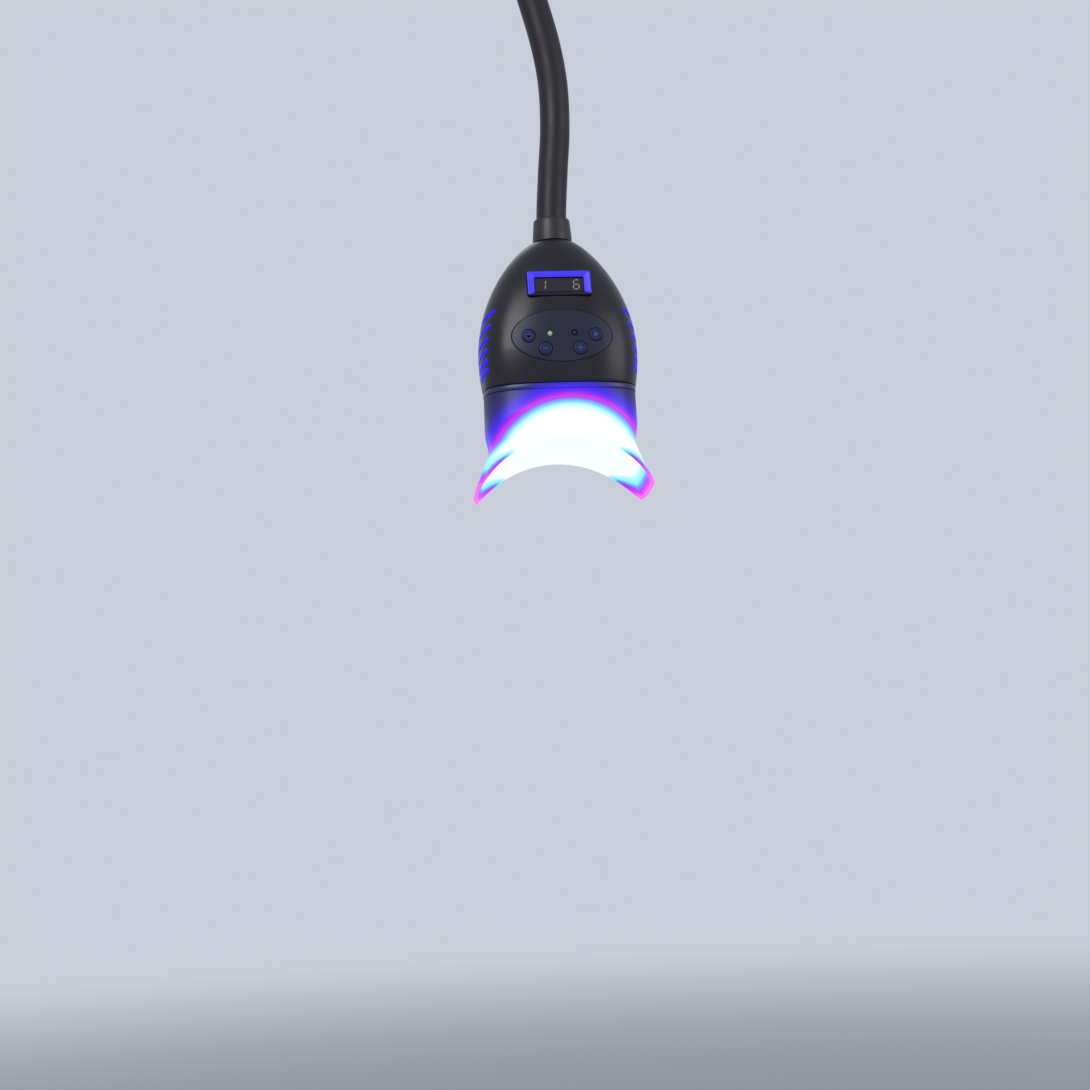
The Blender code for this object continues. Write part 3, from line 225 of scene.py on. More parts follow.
world = bpy.data.worlds.new("soft_room")
bpy.context.scene.world = world
world.use_nodes = True
tree = world.node_tree
path = add_node(tree, "ShaderNodeLightPath")
soft = feed(tree.nodes["Background"], {"Color": linear(ROOM_LIGHT), "Strength": ROOM_STRENGTH})
plain = add_node(tree, "ShaderNodeBackground", {"Color": linear(BACKGROUND), "Strength": 1.0})
shown = path.outputs["Is Camera Ray"]
for ray in ("Is Glossy Ray", "Is Transmission Ray"):
    shown = add_node(tree, "ShaderNodeMath", {0: shown, 1: path.outputs[ray]}, operation="MAXIMUM").outputs[0]
either = add_node(tree, "ShaderNodeMixShader", {0: shown, 1: soft.outputs[0], 2: plain.outputs[0]})
feed(tree.nodes["World Output"], {"Surface": either.outputs[0]})

for name, place, size, power in (
    ("key_light", (-0.9, -1.3, 0.5), 0.9, 13.0), ("fill_light", (1.3, -0.9, 0.0), 1.0, 6.0),
    ("rim_light", (-0.1, 1.2, 1.1), 0.9, 3.0),
):
    soft_box = bpy.data.lights.new(name, "AREA")
    soft_box.shape, soft_box.size, soft_box.energy = "SQUARE", size, power
    stand_at(in_scene(name, soft_box), place, (AIM - Vector(place)).to_track_quat("-Z", "Y"))
bpy.context.scene.view_settings.view_transform = "Standard"

# %% [markdown]
# The lamp is mostly injection-moulded plastic. What the eye reads there is a soft sheen
# broken by a fine spark-eroded grain, and slow changes of tone where the plastic flowed.
# The grain could be modelled, but that takes millions of faces; noise in the piece's own
# space takes none. One recipe lays both on any plastic or metal here, at a size given in
# millimetres. A grain finer than a picture point is drawn a little coarser so that it shows
# close up.

# %% Grain recipe
PATCH_SCALE, BUMP_STRENGTH = 45.0, 0.5


def finish(name, colour, grain_mm, depth_mm, shine, tones=None, stretch=(1, 1, 1), **feeds):
    """A material with fine bump, patchy shine and, with tones, a slow change between two colours."""
    made, tree, shader = new_material(name, colour, Roughness=shine[0], **feeds)
    spot = add_node(tree, "ShaderNodeTexCoord")
    laid = add_node(tree, "ShaderNodeMapping", {"Vector": spot.outputs["Object"], "Scale": stretch})
    fine = add_node(tree, "ShaderNodeTexNoise", {
        "Vector": laid.outputs["Vector"], "Scale": 1 / (grain_mm * MM), "Detail": 4.0, "Roughness": 0.6})
    slow = add_node(tree, "ShaderNodeTexNoise", {
        "Vector": spot.outputs["Object"], "Scale": PATCH_SCALE, "Detail": 2.0}).outputs["Fac"]
    bump = add_node(tree, "ShaderNodeBump", {
        "Height": fine.outputs["Fac"], "Strength": BUMP_STRENGTH, "Distance": depth_mm * MM})
    patchy = add_node(tree, "ShaderNodeMapRange", {
        "Value": slow, "From Min": 0.3, "From Max": 0.7, "To Min": shine[0], "To Max": shine[1]})
    feed(shader, {"Normal": bump.outputs["Normal"], "Roughness": patchy.outputs["Result"]})
    if tones:
        low, high = map(linear, tones)
        tone = add_node(tree, "ShaderNodeMix", {"Factor": slow, "A": low, "B": high}, data_type="RGBA")
        feed(shader, {"Base Color": tone.outputs["Result"]})
    return made


print("grain recipe ready")

# %% [markdown]
# The light engine shines through everything round the mouth. Seen from the display side its
# cone ends in an arc: white inside it, then cyan, magenta and deep blue as the light thins
# out. Lamps behind milky plastic could give it, but such light is slow to render and hard
# to place. So the arc is worked out in the lamp's own space, and it stays on the plastic
# from every side. Both the guard and the barrel's flange take it from the same steps.

# %% Light cone in the plastic
CONE_DROP, CONE_ASIDE, CONE_REACH = 123.5 * MM, 2.5 * MM, 64.0 * MM
CONE_COLOURS = (
    (0.0, "#FFFFFF"), (0.545, "#FDFFFF"), (0.585, "#B9FAFF"), (0.612, "#4FC4FF"), (0.634, "#A22BFF"),
    (0.655, "#E11BEE"), (0.68, "#8A12FF"), (0.705, "#4A0CFF"), (0.74, "#2A08D8"), (0.79, "#150478"),
    (0.87, "#0A0334"),
)


def light_cone(tree):
    """Colour of the light at a point, an arc about a centre below the lens, and the steps to it."""
    spot = add_node(tree, "ShaderNodeTexCoord")
    part = add_node(tree, "ShaderNodeSeparateXYZ", {0: spot.outputs["Object"]})
    known = work_out(tree, {
        "x": part.outputs["X"], "z": part.outputs["Z"], "middle": HEAD_TOP.x, "shift": CONE_ASIDE,
        "centre": HEAD_TOP.z - CONE_DROP, "reach": CONE_REACH,
    }, """
        across = x - middle; side = across absolute; aside = across - shift; rise = z - centre;
        spread = rise map 0.002 0.021 0.72 1.0; wide = aside * spread; wide2 = wide * wide;
        rise2 = rise * rise; share = wide2 + rise2 sqrt / reach""")
    ramp = add_node(tree, "ShaderNodeValToRGB", {"Fac": known["share"]}, CONE_COLOURS)
    return ramp.outputs["Color"], known


print("cone stops:", len(CONE_COLOURS))

# %% [markdown]
# The head is moulded ABS, satin rather than glossy. Its near-black colour is painted shade,
# and its lean to violet is painted blue and warm light. The barrel is the same plastic, lit
# through. The display's frame and the walls of the air slots are light ABS; their blue colour
# and low glow are painted light, leaking from the engine. The collar's turned nylon is
# waxier, with fine marks that run round it, and the fan's black ABS is plain and dull.

# %% Head plastics
# Its near-black is painted shade, and its violet lean painted blue and warm light.
painted_shade_abs = finish("graphite_abs_moulded", "#120B1A", 0.35, 0.02, (0.26, 0.35), ("#0F0916", "#160E1F"),
                      IOR=1.46)
# The barrel's dark colour is painted shade as well; its glow is the cone's light.
barrel_abs = finish("graphite_abs_lit_through", "#1C1730", 0.35, 0.02, (0.25, 0.36), ("#191330", "#201A38"),
                    IOR=1.53, Emission_Strength=0.9)
cone, known = light_cone(barrel_abs.node_tree)
feed(barrel_abs.node_tree.nodes["Principled BSDF"], {"Emission Color": cone})
# Its blue colour and glow are painted light on pale ABS.
lit_abs = finish("light_abs_lit_blue", "#3A36B8", 0.4, 0.015, (0.3, 0.42), ("#332FB0", "#423EC4"), IOR=1.5,
                 Emission_Color=linear("#3319FF"), Emission_Strength=0.7)
nylon = finish("black_nylon_turned", "#15121A", 0.5, 0.02, (0.36, 0.5), ("#131017", "#1B1720"), (1, 1, 3),
               IOR=1.53)
fan_abs = finish("black_abs_moulded", "#101013", 0.4, 0.02, (0.42, 0.56), ("#0E0E11", "#151519"), IOR=1.53)
print("head plastics:", [m.name for m in (painted_shade_abs, barrel_abs, lit_abs, nylon, fan_abs)])

# %% [markdown]
# The keypad is a printed polyester film over rubber keys: the film is dark blue, nearly
# matt, with a fine print texture, and the rubber is duller still. Its signs are ink of a
# lighter blue, flat and dry. The display window is smoked polycarbonate, polished, so it
# mirrors a light sharply, and its figures are pale bars. The two indicators are cast epoxy,
# glossy as drops, one lit and one dark. Each lit piece could have a lamp behind it, but at
# this size a low glow in its finish gives the same.

# %% Keypad, window and figures
membrane = finish("polyester_film_printed", "#070A2C", 0.28, 0.015, (0.34, 0.46), ("#050826", "#090D34"),
                  IOR=1.5)
keycap = finish("rubber_key_blue", "#0A1040", 0.5, 0.02, (0.42, 0.55), ("#080D38", "#0E144A"), IOR=1.45)
ink = finish("screen_ink_pale_blue", "#4250A4", 0.2, 0.01, (0.45, 0.58), ("#3B499A", "#4A58B0"), IOR=1.5)
smoked = finish("smoked_polycarbonate_polished", "#06060C", 3.0, 0.004, (0.06, 0.11), ("#050509", "#080812"),
                IOR=1.58)
lit_bar = finish("display_bar_lit", "#8A8768", 0.3, 0.005, (0.35, 0.45), ("#827F60", "#949170"),
                 Emission_Color=linear("#8F8A62"), Emission_Strength=0.3)
dark_bar = finish("display_bar_unlit", "#15151A", 0.3, 0.005, (0.3, 0.4), ("#121216", "#1A1A20"))
lamp_dot = finish("indicator_epoxy_lit", "#8FA08A", 0.8, 0.004, (0.16, 0.24), ("#86987F", "#9BAE95"),
                  Emission_Color=linear("#8FA58A"), Emission_Strength=0.5)
dull_dot = finish("indicator_epoxy_unlit", "#1E2450", 0.8, 0.004, (0.16, 0.26), ("#1A204A", "#232A5C"))
face_looks = (membrane, keycap, ink, smoked, lit_bar, dark_bar, lamp_dot, dull_dot)
print("face finishes:", [look.name for look in face_looks])

# %% [markdown]
# The mouth guard is moulded from milky polycarbonate, which spreads light inside its wall.
# The cone of light runs through it and thins towards the two tips, where it turns from
# white through cyan and blue to magenta. The outside of the wall is dimmer than the inside,
# so the change starts further from the edge there. The colours could be painted on, but
# then they would stay behind when a size changes. So the guard's mesh carries both: how far
# a point stands from the edge in millimetres, and whether it is on the outside.

# %% Guard plastic
LIP_COLOURS = (
    (0.0, "#FF6BE4"), (0.04, "#E82CF2"), (0.16, "#B81EF6"), (0.24, "#7F6CFF"), (0.33, "#55B4FF"),
    (0.45, "#8CEEFF"), (0.72, "#B4F9FF"), (1.0, "#FFFFFF"),
)
milky = finish("milky_polycarbonate_moulded", "#3A4470", 1.2, 0.02, (0.36, 0.48), IOR=1.5,
               Emission_Strength=0.86)
tree = milky.node_tree
cone, known = light_cone(tree)
for name, held in (("edge", "edge_distance"), ("outside", "outside")):
    known[name] = add_node(tree, "ShaderNodeAttribute", attribute_name=held).outputs["Fac"]
work_out(tree, known, """
    tips = side map 0.016 0.041 0.0 1.0 ^ 2.4; band = outside * 6.0 + 17.0 * tips + 0.01;
    lift = 1.0 - tips * 2.2 + edge; q = lift / band; thin = share map 0.54 0.66 1.0 0.0""")
lip = add_node(tree, "ShaderNodeValToRGB", {"Fac": known["q"]}, LIP_COLOURS)
# The base colour is painted light and shade: pale grey-blue inside the cone, dark navy where the light thins,
# tinted with the lip's colours.
body = add_node(tree, "ShaderNodeMix", {"Factor": known["thin"], "A": linear("#0E0A38"),
                                        "B": linear("#7C93A8")}, data_type="RGBA")
for use, light in (("Emission Color", cone), ("Base Color", body.outputs["Result"])):
    tinted = add_node(tree, "ShaderNodeMix", {"Factor": 1.0, "A": light, "B": lip.outputs["Color"]},
                      data_type="RGBA", blend_type="MULTIPLY")
    feed(tree.nodes["Principled BSDF"], {use: tinted.outputs["Result"]})
print("guard plastic takes", len(tree.nodes), "nodes")

# %% [markdown]
# The neck wears a black silicone sleeve; the trace of wine red in its colour is painted warm
# light. The lead inside is dull PVC. The metal parts differ in how they were made: nickel
# plate on the turned fitting is smooth and bright, with marks that run round; zinc on the
# screws is cloudy; wound spring steel is grey and streaked; extruded aluminium shows fine
# lines along its run; and the metallised reflector is nearly a mirror. One recipe makes
# them all, since only colour, grain and shine differ.

# %% Sleeve and metals
# The wine-red trace in these colours is painted warm light.
sleeve_rubber = finish("silicone_sleeve_extruded", "#17101A", 0.6, 0.03, (0.42, 0.56), ("#130E18", "#1F1420"),
                       (1, 1, 0.25), IOR=1.43)
lead_pvc = finish("pvc_lead_extruded", "#141416", 0.4, 0.02, (0.5, 0.62), ("#121214", "#19191C"), IOR=1.52)
metal = {row[0].split("_")[0]: finish(*row, Metallic=1.0) for row in (
    ("nickel_plate_turned", "#C9C6BE", 0.4, 0.01, (0.16, 0.26), ("#C2BFB7", "#D0CDC6"), (1, 1, 8)),
    ("zinc_plated_steel", "#B4B6BA", 0.6, 0.02, (0.28, 0.42), ("#A9ACB1", "#BEC0C4")),
    ("spring_steel_wound", "#8E9094", 0.8, 0.03, (0.3, 0.45), ("#85878C", "#989A9E"), (1, 1, 6)),
    ("aluminium_extruded", "#C4C6CA", 0.3, 0.02, (0.28, 0.4), ("#BBBDC2", "#CCCED1"), (6, 0.2, 6)),
    ("reflector_metallised", "#DDDEE2", 2.0, 0.01, (0.08, 0.14), ("#D6D8DD", "#E4E5E8")),
)}
print("metals:", sorted(metal))

# %% [markdown]
# Inside sit a green glass-epoxy board with a slight sheen, a grey silicone pad that is
# quite matt, the blue emitters under glossy epoxy and a clear polished lens. The lens is
# seen from below, and the emitters behind it, so both carry light. Light that really passed
# through the lens would come out grainy; a low glow in both looks alike and stays clean.

# %% Board, pad, emitters and lens
laminate = finish("glass_epoxy_board", "#14502E", 0.7, 0.02, (0.36, 0.5), ("#114829", "#195A35"), IOR=1.55)
silicone_pad = finish("silicone_pad_cast", "#8C959A", 0.9, 0.05, (0.74, 0.86), ("#838C91", "#959EA3"),
                      IOR=1.43)
emitter = finish("blue_emitter_epoxy", "#8FB4FF", 1.0, 0.004, (0.12, 0.2), Emission_Color=linear("#6C8CFF"),
                 Emission_Strength=2.4)
clear_lens = finish("clear_polycarbonate_lens", "#E9F4FF", 2.5, 0.006, (0.04, 0.09), IOR=1.58,
                    Transmission_Weight=0.85, Emission_Color=linear("#A9C4FF"), Emission_Strength=0.35)
print("inner finishes:", [m.name for m in (laminate, silicone_pad, emitter, clear_lens)])

# %% [markdown]
# Every finished piece stands at the origin with its place in its mesh. One function takes
# points and faces in metres, makes the mesh, turns its faces outwards and smooths it up to
# an angle. Another hands the mesh to the body that carries it. Ready-made cylinders and
# boxes could be moved into place instead, but points worked out from sizes are easier to
# tie to each other.

# %% Piece helpers
SMOOTH_ANGLE = math.radians(32)


@contextmanager
def edited(mesh):
    """A mesh opened for editing, and written back afterwards."""
    shape = bmesh.new()
    shape.from_mesh(mesh)
    yield shape
    shape.to_mesh(mesh)
    shape.free()


def smoothed(mesh):
    """Smooth faces, with the edges past the smoothing angle set sharp."""
    mesh.shade_smooth()
    mesh.set_sharp_from_angle(angle=SMOOTH_ANGLE)
    return mesh


def bare_mesh(name, points, edges=(), faces=()):
    """A mesh as plain points, lines or faces."""
    mesh = bpy.data.meshes.new(name)
    mesh.from_pydata([tuple(p) for p in points], edges, faces)
    return mesh


def make_mesh(name, points, faces, look):
    """A smooth mesh in one finish, with its faces turned outwards."""
    mesh = bare_mesh(name, points, [], faces)
    with edited(mesh) as shape:
        bmesh.ops.recalc_face_normals(shape, faces=shape.faces)
        if shape.calc_volume(signed=True) < 0:
            bmesh.ops.reverse_faces(shape, faces=shape.faces)
    mesh.materials.append(look)
    return smoothed(mesh)


def place_piece(mesh, body, *nodes):
    """Puts a finished mesh in the scene under its own name, on its body and in place of its solids."""
    made = in_scene(mesh.name.partition(".")[0], mesh)
    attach(made, body)
    if nodes:
        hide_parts(*nodes)
    return made


def open_edges(mesh):
    """How many edges don't have two faces."""
    met = Counter(key for face in mesh.polygons for key in face.edge_keys)
    return sum(1 for count in met.values() if count != 2)


def ellipse(half_u, half_v, count=96):
    """Points round an ellipse or a circle."""
    turns = [2 * math.pi * k / count for k in range(count)]
    return [(half_u * math.cos(a), half_v * math.sin(a)) for a in turns]


def in_mm(rows):
    """Pairs in millimetres, as metres."""
    return [(a * MM, b * MM) for a, b in rows]


def loft(rings, wrap=False):
    """Points and faces of a skin through rings: wrapped into a tube wall, or capped."""
    sides, last = len(rings[0]), len(rings) - 1
    faces = []
    for low, high in [(k, k + 1) for k in range(last)] + ([(last, 0)] if wrap else []):
        for k in range(sides):
            after = (k + 1) % sides
            faces.append((low * sides + k, low * sides + after, high * sides + after, high * sides + k))
    points = [p for ring in rings for p in ring]
    for end in () if wrap else (0, last):
        middle, start = len(points), end * sides
        points.append(sum((Vector(p) for p in rings[end]), Vector()) / sides)
        faces.extend((start + k, start + (k + 1) % sides, middle) for k in range(sides))
    return points, faces


def lathe(profile, axis=Matrix.Identity(4), sides=96, wrap=False):
    """A turned form: the profile lists radius and height in metres."""
    return loft([[axis @ Vector((*spot, height)) for spot in ellipse(radius, radius, sides)]
                 for radius, height in profile], wrap)


print("piece helpers ready")

# %% [markdown]
# The head's skin follows a rule. At each height it is a rounded oblong, somewhere between
# an ellipse and a rectangle, and its half sizes swell from the collar over a shoulder and
# then hold, with a slight draw at the nose. The front is deeper than the rear. A sculpted
# form could come as close, but a rule can be asked for any point of the skin, and all that
# sits on the skin is placed that way.

# %% The head's form
NECK_RADIUS, SHOULDER_DROP, SHOULDER_POWER = 9.8 * MM, 58.0 * MM, 0.77
BODY_HALF_WIDTH, BODY_FRONT, BODY_REAR, BODY_LENGTH = 39.5 * MM, 26.2 * MM, 22.5 * MM, 75.0 * MM
NOSE_DRAW, WALL, GAP = 1.5 * MM, 2.0 * MM, 0.3 * MM
ROUND_SHARE, SQUARE_GAIN = 2.0, 0.9


def half_sizes(drop):
    """Half width, front and rear depth and squareness at a drop below the collar."""
    rise = max(0.0, 1 - max(0.0, (SHOULDER_DROP - drop) / SHOULDER_DROP) ** 2) ** SHOULDER_POWER
    past = min(max(0.0, drop - SHOULDER_DROP) / (BODY_LENGTH - SHOULDER_DROP), 1.0)
    draw = NOSE_DRAW * past ** 2
    sizes = [NECK_RADIUS + (full - NECK_RADIUS) * rise - draw
             for full in (BODY_HALF_WIDTH, BODY_FRONT, BODY_REAR)]
    return (*sizes, ROUND_SHARE + SQUARE_GAIN * min(drop / SHOULDER_DROP, 1.0))


def skin_point(angle, drop, inset=0.0):
    """A point of the skin: angle 0 is to the right, a quarter turn is the display side."""
    width, front, rear, square = half_sizes(drop)
    c, s = math.cos(angle), math.sin(angle)
    deep = front if s > 0 else rear
    return Vector((HEAD_TOP.x + (width - inset) * math.copysign(abs(c) ** (2 / square), c),
                   -(deep - inset) * math.copysign(abs(s) ** (2 / square), s), HEAD_TOP.z - drop))


def face_depth(across, drop, side):
    """Distance of the skin from the middle plane that the named side looks away from."""
    width, front, rear, square = half_sizes(drop)
    deep = {"front": front, "rear": rear}.get(side, width)
    span = width if side in ("front", "rear") else (front if across < 0 else rear)
    return deep * (1 - min(abs(across) / span, 1.0) ** square) ** (1 / square)


def on_side(side, across, drop, away):
    """A point at a distance from the head's middle, on one of its four sides."""
    x, y = {"front": (across, -away), "rear": (across, away), "left": (-away, across),
            "right": (away, across)}[side]
    return Vector((HEAD_TOP.x + x, y, HEAD_TOP.z - drop))


def on_skin(side, across, drop, sink=0.0):
    """A point of the named side, at a sink below the skin."""
    return on_side(side, across, drop, face_depth(across, drop, side) - sink)


for drop in (10, 30, 58, 75):
    print(drop, "mm down: half width", round(half_sizes(drop * MM)[0] / MM, 1))

# %% [markdown]
# Openings in the shell are cut with plugs. A plain box could be pushed through, but it
# leaves a knife edge. A plug's rings follow the skin, a little wider at the top than below,
# so each cut comes out with a moulded edge break. The same plug, kept as a solid, makes the
# posts inside for the screws.

# %% Plugs that follow the skin
CHAMFER, OVER = 0.3 * MM, 3.0 * MM


def oblong(half_u, half_v, corner, grow=0.0, slant=0.0, each=6):
    """Outline of a rounded rectangle, grown outwards and then turned."""
    spots = []
    radius = min(corner, half_u, half_v)
    for quarter, (su, sv) in enumerate(((1, 1), (-1, 1), (-1, -1), (1, -1))):
        for k in range(each + 1):
            turn = math.pi / 2 * (quarter + k / each)
            u = su * (half_u - radius) + (radius + grow) * math.cos(turn)
            v = sv * (half_v - radius) + (radius + grow) * math.sin(turn)
            spots.append((u * math.cos(slant) - v * math.sin(slant),
                          u * math.sin(slant) + v * math.cos(slant)))
    return spots


def round_hole(radius, count=40):
    """A circle as the outline of a plug."""
    return lambda grow: ellipse(radius + grow, radius + grow, count)


def plug(side, across, drop, outline, levels):
    """Rings of a plug: a level is its growth and its sink below the skin, or None and its fixed place."""
    rings = []
    for grow, sink, *place in levels:
        spots = [(across + u, drop - v) for u, v in outline(grow)]
        rings.append([on_side(side, *spot, *place) if place else on_skin(side, *spot, sink)
                      for spot in spots])
    return loft(rings)


def edge_broken(*floor):
    """Levels of a cutter that leaves a small slope at the skin and goes in to its floor."""
    return [(CHAMFER, -OVER), (CHAMFER, 0.0), (0.0, CHAMFER), (0.0, *floor)]


def joined(parts):
    """Several sets of points and faces as one."""
    points, faces = [], []
    for more, rows in parts:
        faces.extend(tuple(v + len(points) for v in row) for row in rows)
        points.extend(more)
    return points, faces


def in_triangles(mesh):
    """Bent four-sided faces are split, because a cut is only exact on flat ones."""
    with edited(mesh) as shape:
        bmesh.ops.triangulate(shape, faces=shape.faces)
    return mesh


def plain_mesh(made, name):
    """The plain mesh that an object's modifiers give; the object itself goes."""
    mesh = bpy.data.meshes.new_from_object(made.evaluated_get(bpy.context.evaluated_depsgraph_get()))
    bpy.data.objects.remove(made)
    mesh.name = name
    return mesh


def carve(mesh, operation, parts, look):
    """One exact Boolean on a mesh with the joined parts; cut walls take their finish."""
    target = in_scene("work", in_triangles(mesh))
    tool = in_scene("tool", in_triangles(make_mesh("tool", *joined(parts), look)))
    step = target.modifiers.new("cut", "BOOLEAN")
    step.operation, step.solver, step.object, step.material_mode = operation, "EXACT", tool, "TRANSFER"
    mesh = plain_mesh(target, mesh.name)
    bpy.data.objects.remove(tool)
    print(mesh.name, operation.lower(), len(parts), "parts:", len(mesh.polygons), "faces, open edges",
          open_edges(mesh))
    return mesh


print("plug helpers ready")

# %% [markdown]
# The shell is two mouldings that meet on the plane through the head's widest line. Each is
# a skin of fine rings with a wall behind it. One whole head with a groove would look alike,
# but only real halves have a real parting line. The edge where they meet is rounded over a
# third of a millimetre, which is what makes that line catch the light, and the halves stand
# closer than a hair, so that no daylight shows through.

# %% Half shells
ROWS, COLUMNS, ROW_SPREAD, EDGE_STEPS = 84, 96, 1.35, 4
SPLIT, ROUND_EDGE = 0.02 * MM, 0.35 * MM


def half_shell(name, front):
    """One half: rings outside and inside, joined round their rims."""
    sign, nearer = (1, min) if front else (-1, max)
    levels = [((BODY_LENGTH - ROUND_EDGE) * (k / ROWS) ** ROW_SPREAD, 0.0) for k in range(ROWS + 1)]
    for k in range(1, EDGE_STEPS + 1):
        turn = math.pi / 2 * k / EDGE_STEPS
        levels.append((BODY_LENGTH - ROUND_EDGE * (1 - math.sin(turn)), ROUND_EDGE * (1 - math.cos(turn))))

    def row(drop, inset):
        """Points from one rim of the half round to the other, this far inside the skin."""
        _, deep, rear, square = half_sizes(drop)
        deep = deep if front else rear
        near = [ROUND_EDGE * (1 - math.cos(math.pi / 2 * k / EDGE_STEPS))
                for k in range(EDGE_STEPS + 1)]
        starts = [math.asin(min((SPLIT + d) / deep, 1.0) ** (square / 2)) for d in near]
        spread = [starts[-1] + (math.pi - 2 * starts[-1]) * k / COLUMNS for k in range(COLUMNS + 1)]
        points = []
        for a in starts[:-1] + spread + [math.pi - a for a in reversed(starts[:-1])]:
            reach = max(0.0, SPLIT + ROUND_EDGE - deep * abs(math.sin(a)) ** (2 / square))
            fillet = ROUND_EDGE - math.sqrt(max(ROUND_EDGE ** 2 - min(reach, ROUND_EDGE) ** 2, 0.0))
            point = skin_point(sign * a, drop, inset + (fillet if inset < WALL else 0.0))
            point.y = nearer(point.y, -sign * SPLIT)
            points.append(point)
        return points

    outer = [row(drop, inset) for drop, inset in levels]
    inner = [row(drop, WALL) for drop, _ in levels]
    points = [p for layer in (outer, inner) for line in layer for p in line]
    columns = len(outer[0])
    shift = len(outer) * columns
    faces = []
    for r in range(len(outer) - 1):
        for c in range(columns - 1):
            a = r * columns + c
            faces.append((a, a + 1, a + 1 + columns, a + columns))
            faces.append((a + shift, a + columns + shift, a + 1 + columns + shift, a + 1 + shift))
        for a in (r * columns, (r + 1) * columns - 1):
            faces.append((a, a + columns, a + columns + shift, a + shift))
    for c in range(columns - 1):
        for a in (c, (len(outer) - 1) * columns + c):
            faces.append((a, a + 1, a + 1 + shift, a + shift))
    return make_mesh(name, points, faces, painted_shade_abs)


front_mesh, rear_mesh = half_shell("front_shell", True), half_shell("rear_shell", False)
print("half shells:", len(front_mesh.polygons), len(rear_mesh.polygons), "faces")

# %% [markdown]
# Four pairs of posts behind the skin take the screws that hold the halves together, and
# four shorter ones carry the circuit board. They could be pieces of their own, but a mould
# makes them in one with the wall. So they are joined to it before anything is cut through
# it, and the openings trim them as they trim the wall.

# %% Posts
SCREWS = in_mm(((-25.5, 31.0), (25.5, 31.0), (-30.5, 61.5), (30.5, 61.5)))
BOARD_POSTS = in_mm(((-14.5, 34.5), (14.5, 34.5), (-15.5, 61.5), (15.5, 61.5)))
SCREW_POST, BOARD_POST, POST_SIDES = (3.6 * MM, 1.5 * MM), (2.4 * MM, 1.2 * MM), 28
BOARD_FRONT, SCREW_REACH, BOARD_REACH, REAR_SINK = 13.5 * MM, 7.3 * MM, 19.2 * MM, 3 * MM


def posts(side, spots, sizes, start, *bore_end):
    """Posts from inside the wall, each with a hole to a sink below the skin or a fixed place."""
    radius, bore = sizes
    rows = [(radius, WALL / 2), (radius, None, start), (bore, None, start), (bore, *bore_end)]
    return [plug(side, x, d, round_hole(0.0, POST_SIDES), rows) for x, d in spots]


front_posts = posts("front", SCREWS, SCREW_POST, SPLIT, None, SCREW_REACH)
front_posts += posts("front", BOARD_POSTS, BOARD_POST, BOARD_FRONT + GAP, None, BOARD_REACH)
rear_posts = posts("rear", SCREWS, SCREW_POST, SPLIT, REAR_SINK)
front_mesh = carve(front_mesh, "UNION", front_posts, painted_shade_abs)
rear_mesh = carve(rear_mesh, "UNION", rear_posts, painted_shade_abs)
print("posts joined:", 2 * len(SCREWS) + len(BOARD_POSTS))

# %% [markdown]
# Six slanting air slots run down each cheek, and the gap between them shrinks towards the
# nose. Stripes of colour could stand for them, but from the side a slot shows its depth, so
# each is cut. Their walls take the cutter's plastic, whose blue colour and glow are painted
# light from inside. Five upright slots at the rear let the fan's air out, and these stay
# dark. The screw heads sit at the bottom of four round sinks.

# %% Air slots and screw sinks
VENT_COUNT, VENT_FIRST, VENT_STEP, VENT_SHRINK = 6, 37.2 * MM, 7.2 * MM, 0.89
VENT_FRONT, VENT_BACK, VENT_FALL, VENT_HALF, VENT_CUT = 15.5 * MM, 2.5 * MM, 6.2 * MM, 0.9 * MM, 5 * MM
OUTLET_COUNT, OUTLET_STEP, OUTLET_DROP, OUTLET_CUT = 5, 6 * MM, 43.5 * MM, 6 * MM
OUTLET_HALF, OUTLET_LENGTH, SEAT_SINK, SINK_RADIUS = 1.1 * MM, 9.5 * MM, 3.8 * MM, 2.7 * MM

vent_cuts = []
for side in ("left", "right"):
    for k in range(VENT_COUNT):
        drop = VENT_FIRST + VENT_STEP * (1 - VENT_SHRINK ** k) / (1 - VENT_SHRINK)
        fall = VENT_FALL * VENT_SHRINK ** (k / 2)
        half = math.hypot(VENT_FRONT - VENT_BACK, fall) / 2
        slant = math.atan2(-fall, VENT_FRONT - VENT_BACK)
        vent_cuts.append(plug(
            side, -(VENT_FRONT + VENT_BACK) / 2, drop + fall / 2,
            lambda grow, half=half, slant=slant: oblong(half, VENT_HALF, VENT_HALF, grow, slant),
            edge_broken(VENT_CUT)))
# The slot walls take the blue plastic, whose colour and glow are painted light.
front_mesh = carve(front_mesh, "DIFFERENCE", vent_cuts, lit_abs)
outlets = [plug("rear", (k - OUTLET_COUNT // 2) * OUTLET_STEP, OUTLET_DROP,
                lambda grow: oblong(OUTLET_HALF, OUTLET_LENGTH, OUTLET_HALF, grow), edge_broken(OUTLET_CUT))
           for k in range(OUTLET_COUNT)]
SCREW_SEATS = [face_depth(x, d, "rear") - SEAT_SINK for x, d in SCREWS]
sinks = [plug("rear", x, d, round_hole(SINK_RADIUS), edge_broken(None, seat))
         for (x, d), seat in zip(SCREWS, SCREW_SEATS)]
for parts in (outlets, sinks):
    rear_mesh = carve(rear_mesh, "DIFFERENCE", parts, painted_shade_abs)
print("slots cut:", len(vent_cuts), "at the sides,", len(outlets), "at the rear")

# %% [markdown]
# The display sits in a window let into the slope of the brow, so its opening is cut square
# to that slope. The keypad lies in an oval recess a film's thickness deep, with round holes
# through to the switches and the two indicator lamps. A recess with a flat floor is easier,
# but the film is bent over the head, so the floor follows the skin.

